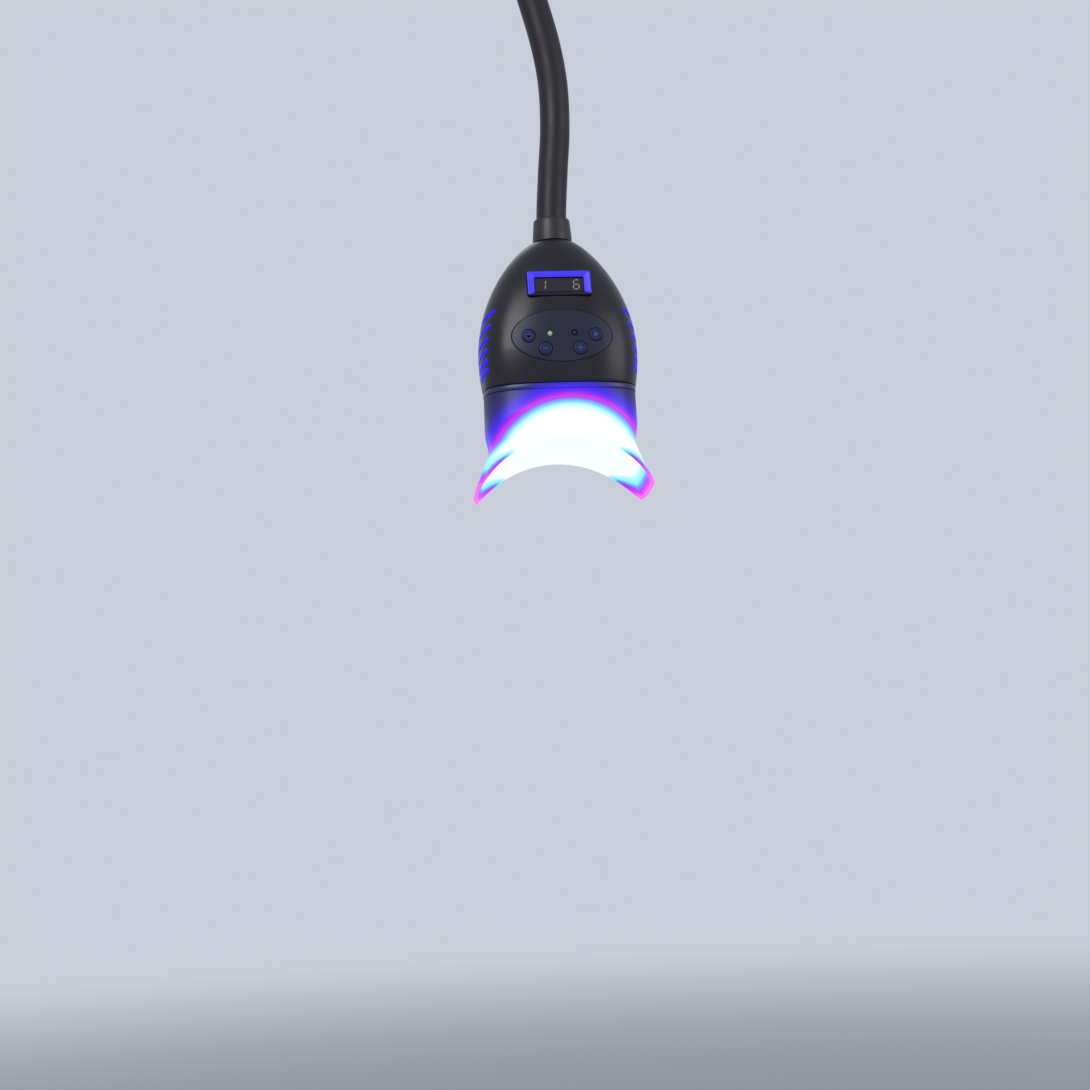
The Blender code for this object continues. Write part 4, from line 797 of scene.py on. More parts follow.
# %% Display opening and keypad recess
DISPLAY_DROP, KEYPAD_DROP = 25.6 * MM, 52.2 * MM
BEZEL_HALF, KEYPAD_HALF = (15.6 * MM, 6.6 * MM), (24.7 * MM, 13.1 * MM)
slope_rise = half_sizes(DISPLAY_DROP + BEZEL_HALF[1])[1] - half_sizes(DISPLAY_DROP - BEZEL_HALF[1])[1]
DISPLAY = (Matrix.Translation(on_skin("front", 0.0, DISPLAY_DROP))
           @ Matrix.Rotation(-math.atan2(slope_rise, 2 * BEZEL_HALF[1]), 4, "X"))
KEYS = {"key_power": (-16.5, 0.0), "key_start": (16.5, 0.0), "key_minus": (-8.5, -6.6),
        "key_plus": (8.5, -6.6)}
DOTS = {"indicator_left": (-6.0, 1.0), "indicator_right": (6.0, 1.0)}
KEY_RADIUS, DOT_RADIUS, FILM_RINGS, FILM_EDGE_STEPS = 3.2 * MM, 1.2 * MM, 26, 4
OPENING_CORNER, OPENING_FRONT, OPENING_BACK = 1.4 * MM, -4 * MM, 6 * MM
RECESS_SINK, HOLE_END = 1.3 * MM, 12 * MM


def framed(half, grow, corner, depth):
    """A rounded rectangle in the display's own plane, at a depth behind the skin."""
    outline = oblong(half[0] + grow, half[1] + grow, corner, each=8)
    return [DISPLAY @ Vector((u, depth, v)) for u, v in outline]


def film_sheet(levels):
    """An oval slab in rings that follow the front skin; levels give its two faces and edge."""
    points, faces = loft([[on_skin("front", u * share, KEYPAD_DROP - v * share, sink)
                           for u, v in ellipse(*KEYPAD_HALF)] for share, sink in levels])
    points[-2:] = [on_skin("front", 0.0, KEYPAD_DROP, sink) for _, sink in (levels[0], levels[-1])]
    return points, faces


def sheet_levels(grow, top, bottom, rounding):
    """Shares and sinks: out along the top, over the edge and back along the bottom."""
    spread = 1 + grow / KEYPAD_HALF[0]
    out = [(spread * (k + 1) / FILM_RINGS, top) for k in range(FILM_RINGS - 1)]
    turns = [math.pi / 2 * k / FILM_EDGE_STEPS for k in range(FILM_EDGE_STEPS + 1 if rounding else 1)]
    turn = [(spread - rounding / KEYPAD_HALF[0] * (1 - math.sin(t)), top + rounding * (1 - math.cos(t)))
            for t in turns]
    return out + turn + [(spread, bottom)] + [(s, bottom) for s, _ in reversed(out)]


def settle(mesh, reach=0.01 * MM):
    """Doubles left by the cuts are merged, and edges set sharp past the smoothing angle."""
    with edited(mesh) as shape:
        bmesh.ops.remove_doubles(shape, verts=shape.verts, dist=reach)
    return smoothed(mesh)


opening = loft([framed(BEZEL_HALF, GAP, OPENING_CORNER, depth) for depth in (OPENING_FRONT, OPENING_BACK)])
recess = film_sheet(sheet_levels(GAP, -OVER, RECESS_SINK, 0.0))
holes = [plug("front", x * MM, KEYPAD_DROP - z * MM, round_hole(radius + GAP, count),
              [(0.0, -OVER), (0.0, None, HOLE_END)])
         for spots, radius, count in ((KEYS, KEY_RADIUS, 48), (DOTS, DOT_RADIUS, 28))
         for x, z in spots.values()]
for parts in ([opening], [recess], holes):
    front_mesh = carve(front_mesh, "DIFFERENCE", parts, painted_shade_abs)
front_shell = place_piece(settle(front_mesh), "head", "front_housing")
rear_shell = place_piece(settle(rear_mesh, 0.0001 * MM), "head", "rear_housing")
print("shells:", len(front_shell.data.polygons), len(rear_shell.data.polygons), "faces")

# %% [markdown]
# The display's frame is a light moulding that funnels down to the window. Its side and top
# slopes take the blue plastic with its glow, as painted light; the lower bar and lower rim
# take the dark plastic, as painted shade. A box with bevels could do, but here each slope
# has its own depth and corner. So it is lofted from rounded rectangles that step in from the
# outer edge to the window.

# %% Display frame
WINDOW_HALF = (12.25 * MM, 4.0 * MM)
SHADE_UP, SHADE_OUT, HIDDEN_DEPTH, LOWER_SHADE_RISE = 0.2 * MM, 0.5 * MM, 0.9 * MM, 0.8 * MM
steps = (
    (BEZEL_HALF, 0.0, 1.2, 3.0), (BEZEL_HALF, 0.0, 1.2, -0.30), (BEZEL_HALF, -0.10, 1.1, -0.50),
    (BEZEL_HALF, -0.28, 1.0, -0.60), (BEZEL_HALF, -0.75, 0.8, -0.60), (BEZEL_HALF, -0.95, 0.7, -0.50),
    (WINDOW_HALF, 0.30, 0.5, 0.45), (WINDOW_HALF, 0.0, 0.4, 0.75), (WINDOW_HALF, 0.0, 0.4, 3.0),
)
rings = [framed(half, *(size * MM for size in sizes)) for half, *sizes in steps]
mesh = make_mesh("display_frame", *loft(rings, wrap=True), lit_abs)
mesh.materials.append(painted_shade_abs)
to_display = DISPLAY.inverted()
# Faces deep in the opening, and those of the lower bar and lower rim, take the dark plastic as painted shade.
for face in mesh.polygons:
    spot = to_display @ face.center
    shaded = spot.z < -WINDOW_HALF[1] + SHADE_UP and abs(spot.x) < WINDOW_HALF[0] + SHADE_OUT
    hidden_or_shaded = spot.y > HIDDEN_DEPTH or spot.z < -BEZEL_HALF[1] + LOWER_SHADE_RISE
    face.material_index = int(shaded or hidden_or_shaded)
place_piece(mesh, "head", "display_bezel")
print("display frame:", len(mesh.polygons), "faces")

# %% [markdown]
# Figures on such a display are built from seven bars. They could be placed one by one, but
# what repeats is better left to a rule. A Geometry Nodes tree makes one six-sided bar to a
# length, width and depth, and sets it down on points, turned as each point says. One run of
# it places the lit bars, and another places the dark ones.


# %% Rules as node trees
def new_rule(name, sizes):
    """A Geometry Nodes tree with a geometry and named sizes going in, and geometry out."""
    tree = bpy.data.node_groups.new(name, "GeometryNodeTree")
    inputs = (("Geometry", "Geometry"), *((size, "Float") for size in sizes), ("Material", "Material"))
    for label, kind in inputs:
        tree.interface.new_socket(name=label, in_out="INPUT", socket_type="NodeSocket" + kind)
    tree.interface.new_socket(name="Geometry", in_out="OUTPUT", socket_type="NodeSocketGeometry")
    return tree, add_node(tree, "NodeGroupInput").outputs


def end_rule(tree, geometry, given):
    """Every rule ends the same way: real geometry in its own material."""
    real = add_node(tree, "GeometryNodeRealizeInstances", {"Geometry": geometry})
    dressed = add_node(tree, "GeometryNodeSetMaterial", {"Geometry": real.outputs[0],
                                                         "Material": given["Material"]})
    add_node(tree, "NodeGroupOutput", {"Geometry": dressed.outputs[0]})


def end_on_points(tree, form, given, **feeds):
    """Ends a rule that stands a form on every point, turned as the point says."""
    turn = add_node(tree, "GeometryNodeInputNamedAttribute", {"Name": "turn"}, data_type="FLOAT_VECTOR")
    laid = add_node(tree, "GeometryNodeInstanceOnPoints", {
        "Points": given["Geometry"], "Instance": form, "Rotation": turn.outputs["Attribute"], **feeds})
    end_rule(tree, laid.outputs[0], given)


def bent_grid(name, sizes, columns, rows, formula, merge, held=()):
    """A rule that bends a grid: a formula turns its shares u and v into x, y and z; the seam closes."""
    tree, given = new_rule(name, sizes)
    grid = add_node(tree, "GeometryNodeMeshGrid", {
        "Size X": 1.0, "Size Y": 1.0, "Vertices X": columns, "Vertices Y": rows})
    spot = add_node(tree, "GeometryNodeInputPosition").outputs[0]
    part = add_node(tree, "ShaderNodeSeparateXYZ", {0: spot})
    known = {"gx": part.outputs["X"], "gy": part.outputs["Y"], "quarter": math.pi / 2, "half": math.pi,
             "whole": 2 * math.pi, "middle": HEAD_TOP.x, "top": HEAD_TOP.z, "mm": MM,
             **{size.replace(" ", "_"): given[size] for size in sizes}}
    work_out(tree, known, "u = gx + 0.5; v = gy + 0.5;" + formula)
    shape = grid.outputs["Mesh"]
    for measure in held:
        shape = add_node(tree, "GeometryNodeStoreNamedAttribute", {
            "Geometry": shape, "Name": measure, "Value": known[measure]}, data_type="FLOAT").outputs[0]
    place = add_node(tree, "ShaderNodeCombineXYZ", {axis: known[axis.lower()] for axis in "XYZ"})
    bent = add_node(tree, "GeometryNodeSetPosition", {"Geometry": shape, "Position": place.outputs[0]})
    shut = add_node(tree, "GeometryNodeMergeByDistance", {"Geometry": bent.outputs[0], "Distance": merge})
    end_rule(tree, shut.outputs[0], given)
    return tree


def grown(base, tree, look, sizes, **wall):
    """Runs a rule on a base mesh, and a wall if one is given; the plain result keeps the base's name."""
    source = in_scene(base.name + "_rule", base)
    step = source.modifiers.new("rule", "NODES")
    step.node_group = tree
    given = {**{name: float(size) for name, size in sizes.items()}, "Material": look}
    for item in tree.interface.items_tree:
        if item.in_out == "INPUT" and item.name in given:
            step[item.identifier] = given[item.name]
    if wall:
        more = source.modifiers.new("solidify", "SOLIDIFY")
        for key, value in wall.items():
            setattr(more, key, value)
    return smoothed(plain_mesh(source, base.name))


def turned_points(name, spots):
    """A mesh of bare points that carry the turn of what will stand on them."""
    mesh = bare_mesh(name, [place for place, _ in spots])
    held = mesh.attributes.new("turn", "FLOAT_VECTOR", "POINT")
    for k, (_, turn) in enumerate(spots):
        held.data[k].vector = turn.to_euler("XYZ")
    return mesh


def quarter_turn(axis, size=3, way=1):
    """A quarter turn about an axis."""
    return Matrix.Rotation(way * math.radians(90), size, axis)


bar_rule, given = new_rule("figure_bars", ["Length", "Width", "Depth"])
bar = add_node(bar_rule, "GeometryNodeMeshCylinder", {"Vertices": 6, "Radius": 0.5, "Depth": 1.0})
sized = add_node(bar_rule, "ShaderNodeCombineXYZ", {"X": given["Length"], "Y": given["Width"],
                                                   "Z": given["Depth"]})
shaped = add_node(bar_rule, "GeometryNodeTransform", {"Geometry": bar.outputs[0], "Scale": sized.outputs[0]})
end_on_points(bar_rule, shaped.outputs[0], given)

FIGURE_STEP, FIGURE_HEIGHT, FIGURE_WIDTH, FIGURE_LEAN = 8.3 * MM, 5.0 * MM, 2.7 * MM, 0.10
FIGURE_ASIDE, FIGURE_DEPTH = 0.3 * MM, 1.40 * MM
BARS = {"a": (0, 1, 0), "b": (1, 0.5, 1), "c": (1, -0.5, 1), "d": (0, -1, 0), "e": (-1, -0.5, 1),
        "f": (-1, 0.5, 1), "g": (0, 0, 0)}
SHOWN = ("bc", "", "acdefg")
lit, unlit = [], []
for place, shown in enumerate(SHOWN):
    for letter, (sx, sz, upright) in BARS.items():
        u = (place - 1) * FIGURE_STEP + FIGURE_ASIDE + sx * FIGURE_WIDTH / 2
        u += sz * FIGURE_HEIGHT / 2 * FIGURE_LEAN
        lean = math.radians(90) - FIGURE_LEAN if upright else 0.0
        (lit if letter in shown else unlit).append((
            DISPLAY @ Vector((u, FIGURE_DEPTH, sz * FIGURE_HEIGHT / 2)),
            DISPLAY.to_3x3() @ quarter_turn("X") @ Matrix.Rotation(lean, 3, "Z")))
bar_sizes = {"Length": 2.25 * MM, "Width": 0.62 * MM, "Depth": 0.1 * MM}
for name, spots, look in (("figure_bars_lit", lit, lit_bar), ("figure_bars_unlit", unlit, dark_bar)):
    place_piece(grown(turned_points(name, spots), bar_rule, look, bar_sizes), "head")
print("bars lit", len(lit), "unlit", len(unlit))

# %% [markdown]
# The keypad film is the same slab as its recess, made to size, with a rounded edge. Four
# keys show through it, each a low dome on its own body so that it can be pressed, and each
# with a generic sign: power, start, less and more. A sign could be a colour in the
# material, but raised ink keeps a crisp edge close up.

# %% Keypad film and keys
FILM_TOP, FILM_BOTTOM, FILM_ROUND, INK, INK_HALF = -0.3 * MM, 1.0 * MM, 0.4 * MM, 0.05 * MM, 0.18 * MM
KEY_PROUD, KEY_CAP, KEY_DISH, KEY_ROUND = 0.7 * MM, 2.4 * MM, 0.12 * MM, 0.45 * MM
STEM_RADIUS, STEM_FOOT, DOT_PROUD, DOT_FOOT = 1.4 * MM, 18.1 * MM, 0.5 * MM, 13.8 * MM
DOME_STEPS, DOT_STEPS, EDGE_SHARE = 6, 10, 0.3


def slab(outline, height):
    """A flat ink sign from its outline and height."""
    return loft([[Vector((*p, z)) for p in outline] for z in (-height, height)])


def bead(start, end, half, height=INK):
    """A flat ink stroke between two points, with square ends."""
    start, end = Vector(start) * MM, Vector(end) * MM
    along = (end - start).normalized()
    across = Vector((-along.y, along.x)) * half
    return slab([start - across, end - across, end + across, start + across], height)


def arc_stroke(radius, first, last, count=18):
    """An ink stroke along part of a circle."""
    turns = [math.radians(first + (last - first) * k / count) for k in range(count + 1)]
    return slab([(way * math.cos(a), way * math.sin(a)) for way, row in (
        (radius + INK_HALF, turns), (radius - INK_HALF, turns[::-1])) for a in row], INK)


def face_axis(x, z, proud):
    """How far from the middle a round piece of the keypad ends, and its axis there."""
    drop = KEYPAD_DROP - z * MM
    face = face_depth(x * MM, drop, "front") + proud
    return face, Matrix.Translation(on_side("front", x * MM, drop, face)) @ quarter_turn("X", 4)


sheet = film_sheet(sheet_levels(0.0, FILM_TOP, FILM_BOTTOM, FILM_ROUND))
film = carve(make_mesh("keypad_film", *sheet, membrane), "DIFFERENCE", holes, membrane)
place_piece(settle(film), "head", "keypad_panel")

flat_stroke = bead((-1.3, 0.0), (1.3, 0.0), INK_HALF * 1.3)
KEY_SIGNS = {
    "key_power": [arc_stroke(1.25 * MM, 125, 415), bead((0.0, 0.45), (0.0, 1.7), INK_HALF)],
    "key_start": [slab(in_mm(((1.3, 0.0), (-0.8, 1.15), (-0.8, -1.15))), INK)],
    "key_minus": [flat_stroke],
    "key_plus": [flat_stroke, bead((0.0, -1.3), (0.0, 1.3), INK_HALF * 1.3, INK * 0.9)],
}
for name, spot in KEYS.items():
    face, axis = face_axis(*spot, KEY_PROUD)
    dome = [(KEY_RADIUS * s, -KEY_DISH * s ** 2) for s in (0.15, 0.3, 0.5, 0.7)]
    dome += [(KEY_RADIUS * (1 - EDGE_SHARE) + KEY_RADIUS * EDGE_SHARE * math.sin(t),
              -KEY_DISH * 0.5 - KEY_ROUND * (1 - math.cos(t)))
             for t in (math.pi / 2 * k / DOME_STEPS for k in range(1, DOME_STEPS + 1))]
    stem = [(KEY_RADIUS, -KEY_CAP), (STEM_RADIUS, -KEY_CAP), (STEM_RADIUS, STEM_FOOT - face)]
    place_piece(make_mesh(name + "_cap", *lathe(dome + stem, axis, 64), keycap), name, name)
    points, faces = joined(KEY_SIGNS[name])
    place_piece(make_mesh(name + "_sign", [axis @ p for p in points], faces, ink), name)
for name, spot in DOTS.items():
    face, axis = face_axis(*spot, DOT_PROUD)
    dome = [(DOT_RADIUS * math.sin(t), -DOT_RADIUS * (1 - math.cos(t)))
            for t in (math.pi / 2 * k / DOT_STEPS for k in range(1, DOT_STEPS + 1))]
    look = lamp_dot if name.endswith("left") else dull_dot
    place_piece(make_mesh(name + "_lens", *lathe([*dome, (DOT_RADIUS, DOT_FOOT - face)], axis, 48), look),
                "head", name)
print("keys:", list(KEYS), "lamps:", list(DOTS))

# %% [markdown]
# Below the shell the barrel carries the light engine. It is one moulding: a flange that
# closes the seam and a nose that the guard slides over. It could be modelled by itself, but
# its section is the shell's own section at the nose, drawn in. So the same skin function
# gives every ring, and the two stay in step when a size changes. The lens is a plate of
# that section.

# %% Barrel and lens
NOSE_COUNT = 180


def nose_rings(steps):
    """Rings of the nose section, each a drop and how far it is drawn in, in millimetres."""
    turns = [2 * math.pi * k / NOSE_COUNT for k in range(NOSE_COUNT)]
    return [[Vector((*skin_point(a, BODY_LENGTH, inset).xy, HEAD_TOP.z - drop)) for a in turns]
            for drop, inset in in_mm(steps)]


rings = nose_rings((
    (66.2, 2.4), (75.3, 2.4), (75.3, 0.5), (75.38, 0.3), (75.6, 0.2), (77.6, 0.2), (77.82, 0.3), (77.9, 0.5),
    (77.9, 2.4), (85.6, 2.4), (85.82, 2.5), (85.9, 2.75), (85.9, 4.2), (85.7, 4.4), (83.6, 4.4), (83.6, 4.1),
    (66.2, 4.1),
))
mesh = make_mesh("lamp_barrel_moulded", *loft(rings, wrap=True), barrel_abs)
place_piece(mesh, "head", "lamp_barrel")
rings = nose_rings(((81.7, 4.6), (81.7, 4.5), (81.8, 4.4), (83.2, 4.4), (83.3, 4.5), (83.3, 4.9)))
place_piece(make_mesh("lens_plate", *loft(rings), clear_lens), "head", "front_lens")
print("barrel:", len(mesh.polygons), "faces")

# %% [markdown]
# The mouth guard is the main piece whose shape is a rule. Its section starts as the nose
# section, draws in to a waist, then flares to a wide rim. The rim follows an arch, high in
# the middle and low at the tips, so that it fits over a face. It could be sculpted, but
# then its sizes couldn't be changed one by one. So a grid is bent round that rule: one way
# it goes round the mouth, and the other way it runs down the outside, round the lip and
# back up the inside, so the wall comes out closed and even.

# %% Mouth guard
GUARD = {"Seat Drop": 78.2, "Apex Drop": 104.7, "Arch Radius": 51.095, "Tip Fall": 21.46, "Rim Width": 44.2,
         "Rim Front": 26.8, "Rim Rear": 29.5, "Seat Width": 37.6, "Seat Front": 24.3, "Seat Rear": 20.6,
         "Waist Draw": 1.4, "Wall": 1.7}
GUARD_SHARES = {"Flare Start": 0.56, "Flare Power": 1.15, "Held": 0.3359, "Rim Tilt": 0.1, "Squareness": 4.5,
                "Even": 1.9}
LIP_START, LIP_END, SEAM_START, SQUARE_LOSS = 0.455, 0.545, 0.96, 2.9
ALONG = f"""
    out = v map 0.0 {LIP_START} 0.0 1.0; home = v map {LIP_END} {SEAM_START} 1.0 0.0; share = out min home;
    bend = v map {LIP_START} {LIP_END} 0.0 half; bend_c = bend cosine; bend_s = bend sine;
    shut = v map {SEAM_START} 1.0 1.0 0.0; lip = 1.0 - bend_c * 0.5 * shut; wall_in = lip * Wall;
    run = Flare_Start - Held; below = share - Held max 0.0 / run min 1.0 * quarter sine;
    below = below * below; draw = below * Waist_Draw + wall_in;
    rest = 1.0 - Flare_Start; flare = share - Flare_Start max 0.0 / rest ^ Flare_Power;
    square = Squareness - {SQUARE_LOSS} * share + {SQUARE_LOSS}; power = 2.0 / square;"""
AROUND = """
    angle = u * whole; c = angle cosine; s = angle sine; c_sign = c sign; s_sign = s sign; front = s > 0.0;
    c_even = c absolute ^ Even; c2 = c_even * c_even; s_even = s absolute ^ Even; s2 = s_even * s_even;
    norm = c2 + s2 sqrt; cx = c_even / norm ^ power * c_sign; sy = s_even / norm ^ power * s_sign;"""
WAYS = "".join(f"""
    seat = Seat_{way} - draw; rim = Rim_{way} - wall_in; more = rim - seat * flare; to_{way} = seat + more;"""
               for way in ("Width", "Front", "Rear"))
TO_PLACE = """
    x = cx * to_Width + middle; deep = to_Front - to_Rear * front + to_Rear; y = sy * deep * -1.0;
    rx = Rim_Width - wall_in * cx; rx = rx * rx; rr = Arch_Radius * Arch_Radius - rx sqrt;
    ry = Rim_Front - Rim_Rear * front + Rim_Rear - wall_in * sy * Rim_Tilt;
    arch = Arch_Radius - rr min Tip_Fall; half_wall = Wall * 0.5;
    fall = Apex_Drop - Seat_Drop + arch - ry - half_wall; round = bend_s * half_wall;
    down = fall * share + round + Seat_Drop; z = top - down;
    left_over = 1.0 - share; edge_distance = left_over * fall / mm; outside = v < 0.5"""
guard_rule = bent_grid("guard_shell", [*GUARD, *GUARD_SHARES], 241, 121, ALONG + AROUND + WAYS + TO_PLACE,
                       0.002 * MM, ("edge_distance", "outside"))
mesh = grown(bare_mesh("mouth_guard_shell", ()), guard_rule, milky,
             {**{name: size * MM for name, size in GUARD.items()}, **GUARD_SHARES})
with edited(mesh) as shape:
    bmesh.ops.recalc_face_normals(shape, faces=shape.faces)
place_piece(mesh, "mouth_guard", "mouth_guard")
print("guard:", len(mesh.polygons), "faces, open edges", open_edges(mesh))

# %% [markdown]
# The neck is a smooth sleeve over a chain of hinged cores. Its route is one smooth curve
# through a few heights. It could be drawn with handles, but those are hard to set by
# number, so the curve runs through the points alone. Everything along the neck is placed by
# its distance from the top, measured along that curve.

# %% Neck route
NECK_TOP, NECK_HEIGHT, NECK_SWAY = -34.0 * MM, 212.0 * MM, 16.0 * MM
HEIGHT_SHARES = (0.0, 0.08, 0.19, 0.30, 0.41, 0.52, 0.62, 0.73, 0.84, 0.94, 1.0)
SWAY_SHARES = (0.0, 0.0, 0.08, 0.32, 0.70, 1.05, 1.235, 1.24, 1.11, 1.005, 1.0)
HINGES, ROUTE_STEPS = 6, 24


def smooth_curve(through, steps):
    """A curve that runs smoothly through every point."""
    ends = [2 * through[0] - through[1], *through, 2 * through[-1] - through[-2]]
    line = []
    for k in range(1, len(ends) - 2):
        a, b, c, d = ends[k - 1:k + 3]
        for t in (step / steps for step in range(steps)):
            line.append(0.5 * (2 * b + (c - a) * t + (2 * a - 5 * b + 4 * c - d) * t ** 2
                               + (3 * b - a - 3 * c + d) * t ** 3))
    return [*line, through[-1].copy()]


ROUTE = smooth_curve([Vector((NECK_SWAY * sway, 0.0, NECK_TOP - NECK_HEIGHT * fall))
                      for fall, sway in zip(HEIGHT_SHARES, SWAY_SHARES)], ROUTE_STEPS)
REACHES = [0.0]
for before, after in zip(ROUTE, ROUTE[1:]):
    REACHES.append(REACHES[-1] + (after - before).length)
ROUTE_LENGTH = REACHES[-1]


def route_at(reach):
    """Place at a length down the route; past either end it runs straight on."""
    if reach <= 0:
        return ROUTE[0] + Vector((0, 0, -reach))
    if reach >= ROUTE_LENGTH:
        return ROUTE[-1] - Vector((0, 0, reach - ROUTE_LENGTH))
    k = next(k for k in range(1, len(REACHES)) if REACHES[k] >= reach)
    return ROUTE[k - 1].lerp(ROUTE[k], (reach - REACHES[k - 1]) / (REACHES[k] - REACHES[k - 1]))


print("neck route", round(ROUTE_LENGTH / MM, 1), "mm long")

# %% [markdown]
# Each stretch of sleeve runs from the middle of one link to the middle of the next, over
# the hinge between them. One long tube would be simpler, but a piece can bend between two
# bodies only. A Geometry Nodes tree sweeps a circle along each stretch; a wall is then added
# inside. The lead runs through it in the same stretches.

# %% Sleeve and lead, a stretch for each hinge
SLEEVE_RADIUS, SLEEVE_WALL, LEAD_RADIUS = 7.5 * MM, 2.1 * MM, 1.5 * MM
SPACING, PATH_STEPS, BEND_REACH = ROUTE_LENGTH / HINGES, 29, 12 * MM
LEAD_ABOVE, LEAD_BELOW = 9.2 * MM, 22.5 * MM

sweep_rule, given = new_rule("sweep_along_route", ["Radius"])
line = add_node(sweep_rule, "GeometryNodeMeshToCurve", {"Mesh": given["Geometry"]})
ring = add_node(sweep_rule, "GeometryNodeCurvePrimitiveCircle", {"Resolution": 64, "Radius": given["Radius"]})
tube = add_node(sweep_rule, "GeometryNodeCurveToMesh", {
    "Curve": line.outputs[0], "Profile Curve": ring.outputs[0], "Fill Caps": False})
end_rule(sweep_rule, tube.outputs[0], given)


def closed_outwards(mesh):
    """Fills any open end and turns the faces outwards."""
    with edited(mesh) as shape:
        bmesh.ops.remove_doubles(shape, verts=shape.verts, dist=0.0001 * MM)
        bmesh.ops.holes_fill(shape, edges=[e for e in shape.edges if e.is_boundary], sides=0)
        bmesh.ops.recalc_face_normals(shape, faces=shape.faces)
    return smoothed(mesh)


wall = {"thickness": SLEEVE_WALL, "offset": -1.0, "use_rim": True, "use_even_offset": True}
for kind, radius, look, first, last, walled in (
    ("neck_sleeve", SLEEVE_RADIUS, sleeve_rubber, GAP, ROUTE_LENGTH - GAP, wall),
    ("supply_lead", LEAD_RADIUS, lead_pvc, -LEAD_ABOVE, ROUTE_LENGTH + LEAD_BELOW, {}),
):
    reaches = [first, *(SPACING * k for k in range(1, HINGES)), last]
    for k, (start, end) in enumerate(zip(reaches, reaches[1:])):
        along = [route_at(start + (end - start) * n / PATH_STEPS) for n in range(PATH_STEPS + 1)]
        path = bare_mesh(f"{kind}_{k + 1}", along, [(n, n + 1) for n in range(PATH_STEPS)])
        mesh = closed_outwards(grown(path, sweep_rule, look, {"Radius": radius}, **walled))
        made = in_scene(path.name, mesh)
        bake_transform(made)
        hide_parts(kind)
print("stretches:", HINGES, "of sleeve and of lead, each over one hinge")

# %% [markdown]
# Above and below the sleeve sit two turned fittings. The upper one is nickel plated, with a
# knurled grip band and a threaded stud that a stand takes; the lower is black nylon and
# tapers to the head. Stacked cylinders could make them, but with edges that no lathe
# leaves. So each is turned from its profile, and the profile breaks the edges that show.

# %% End fitting
INLET_DROP = 24.5 * MM

fitting = in_mm((
    (0.0004, 0.0), (4.2, 0.0), (4.55, -0.25), (4.55, -11.8), (4.7, -12.0), (8.1, -12.0), (9.2, -12.45),
    (9.8, -13.6), (9.8, -18.0), (9.45, -18.3), (9.45, -18.6), (9.75, -18.9), (9.75, -27.0), (9.45, -27.3),
    (9.45, -27.6), (9.8, -27.9), (9.8, -44.6), (9.6, -45.4), (9.1, -46.0), (8.3, -46.0), (8.0, -45.7),
    (8.0, -34.0), (5.0, -34.0), (5.0, -20.0),
))
inlet_axis = Matrix.Translation((0.0, 5.0 * MM, -INLET_DROP)) @ quarter_turn("X", 4, -1)
inlet_cut = lathe(in_mm(((3.9, -5.0), (3.9, 4.4), (4.3, 5.2), (4.3, 9.8))), inlet_axis, 64)
mesh = make_mesh("end_fitting_turned", *lathe(fitting), metal["nickel"])
mesh = settle(carve(mesh, "DIFFERENCE", [inlet_cut], metal["nickel"]))
place_piece(mesh, "arm_end", "end_fitting")
inlet = in_mm(((3.3, 0.3), (3.6, 0.6), (3.6, 5.6), (3.3, 6.2), (2.5, 6.2), (2.2, 5.9), (2.2, 1.7), (0.7, 1.7),
               (0.65, 3.6), (0.35, 4.0)))
place_piece(make_mesh("power_inlet_socket", *lathe(inlet, inlet_axis, 64), fan_abs), "arm_end", "power_inlet")
print("end fitting:", len(mesh.polygons), "faces")

# %% [markdown]
# Knurling and thread repeat, so they are rules. A bump in the material could stand for
# them, but it would leave the outline smooth. The knurl is a ring of small diamond
# pyramids, one diamond set down along a grid of points round the band. The thread is a fine
# sheet round the stud whose radius rises and falls with height less turn.

# %% Knurl and thread
KNURL_AROUND, KNURL_ROWS, KNURL_STEP, KNURL_TOP, KNURL_RADIUS = 44, 11, 0.73 * MM, 19.3 * MM, 9.6 * MM
INLET_CLEAR = 5.0 * MM

knurl_rule, given = new_rule("knurl_diamonds", ["Radius", "Height"])
diamond = add_node(knurl_rule, "GeometryNodeMeshCone", {
    "Vertices": 4, "Radius Top": 0.0, "Radius Bottom": given["Radius"], "Depth": given["Height"]})
end_on_points(knurl_rule, diamond.outputs[0], given)
spots = []
for row in range(KNURL_ROWS):
    for k in range(KNURL_AROUND):
        a = 2 * math.pi * (k + 0.5 * (row % 2)) / KNURL_AROUND
        x, y, z = KNURL_RADIUS * math.cos(a), KNURL_RADIUS * math.sin(a), -KNURL_TOP - KNURL_STEP * row
        if y <= 0 or math.hypot(x, z + INLET_DROP) >= INLET_CLEAR:
            spots.append(((x, y, z), Matrix.Rotation(a, 3, "Z") @ quarter_turn("Y")))
place_piece(grown(turned_points("knurled_band", spots), knurl_rule, metal["nickel"],
                  {"Radius": 0.7 * MM, "Height": 0.35 * MM}), "arm_end")

THREAD = {"Root": 4.5 * MM, "Depth": 0.48 * MM, "Pitch": 1.25 * MM, "Length": 11.0 * MM}
thread_rule = bent_grid("screw_thread", [*THREAD], 65, 161, """
    ends = v - 0.5 absolute * -20.0 + 10.0 min 1.0; down = v * Length; phase = down / Pitch + u;
    radius = phase pingpong 0.5 * 2.0 * Depth * ends + Root; angle = u * whole; c = angle cosine;
    s = angle sine; x = c * radius; y = s * radius; z = down * -1.0 - 0.0005""", 0.001 * MM)
mesh = closed_outwards(grown(bare_mesh("stud_thread", ()), thread_rule, metal["nickel"], THREAD))
place_piece(mesh, "arm_end")
print("diamonds:", len(spots), "thread faces:", len(mesh.polygons))

# %% [markdown]
# The lock nut is a hexagon whose corners are turned back, as on a real nut. A bevel would
# cut the flats as well, so it is lofted from hexagons that a circle clips, drawn with many
# points so that the clipped corners come out round. The screws have a thread of rings and a
# cross recess. One is made, and a rule sets it down four times, each turned as a driver
# happened to leave it.

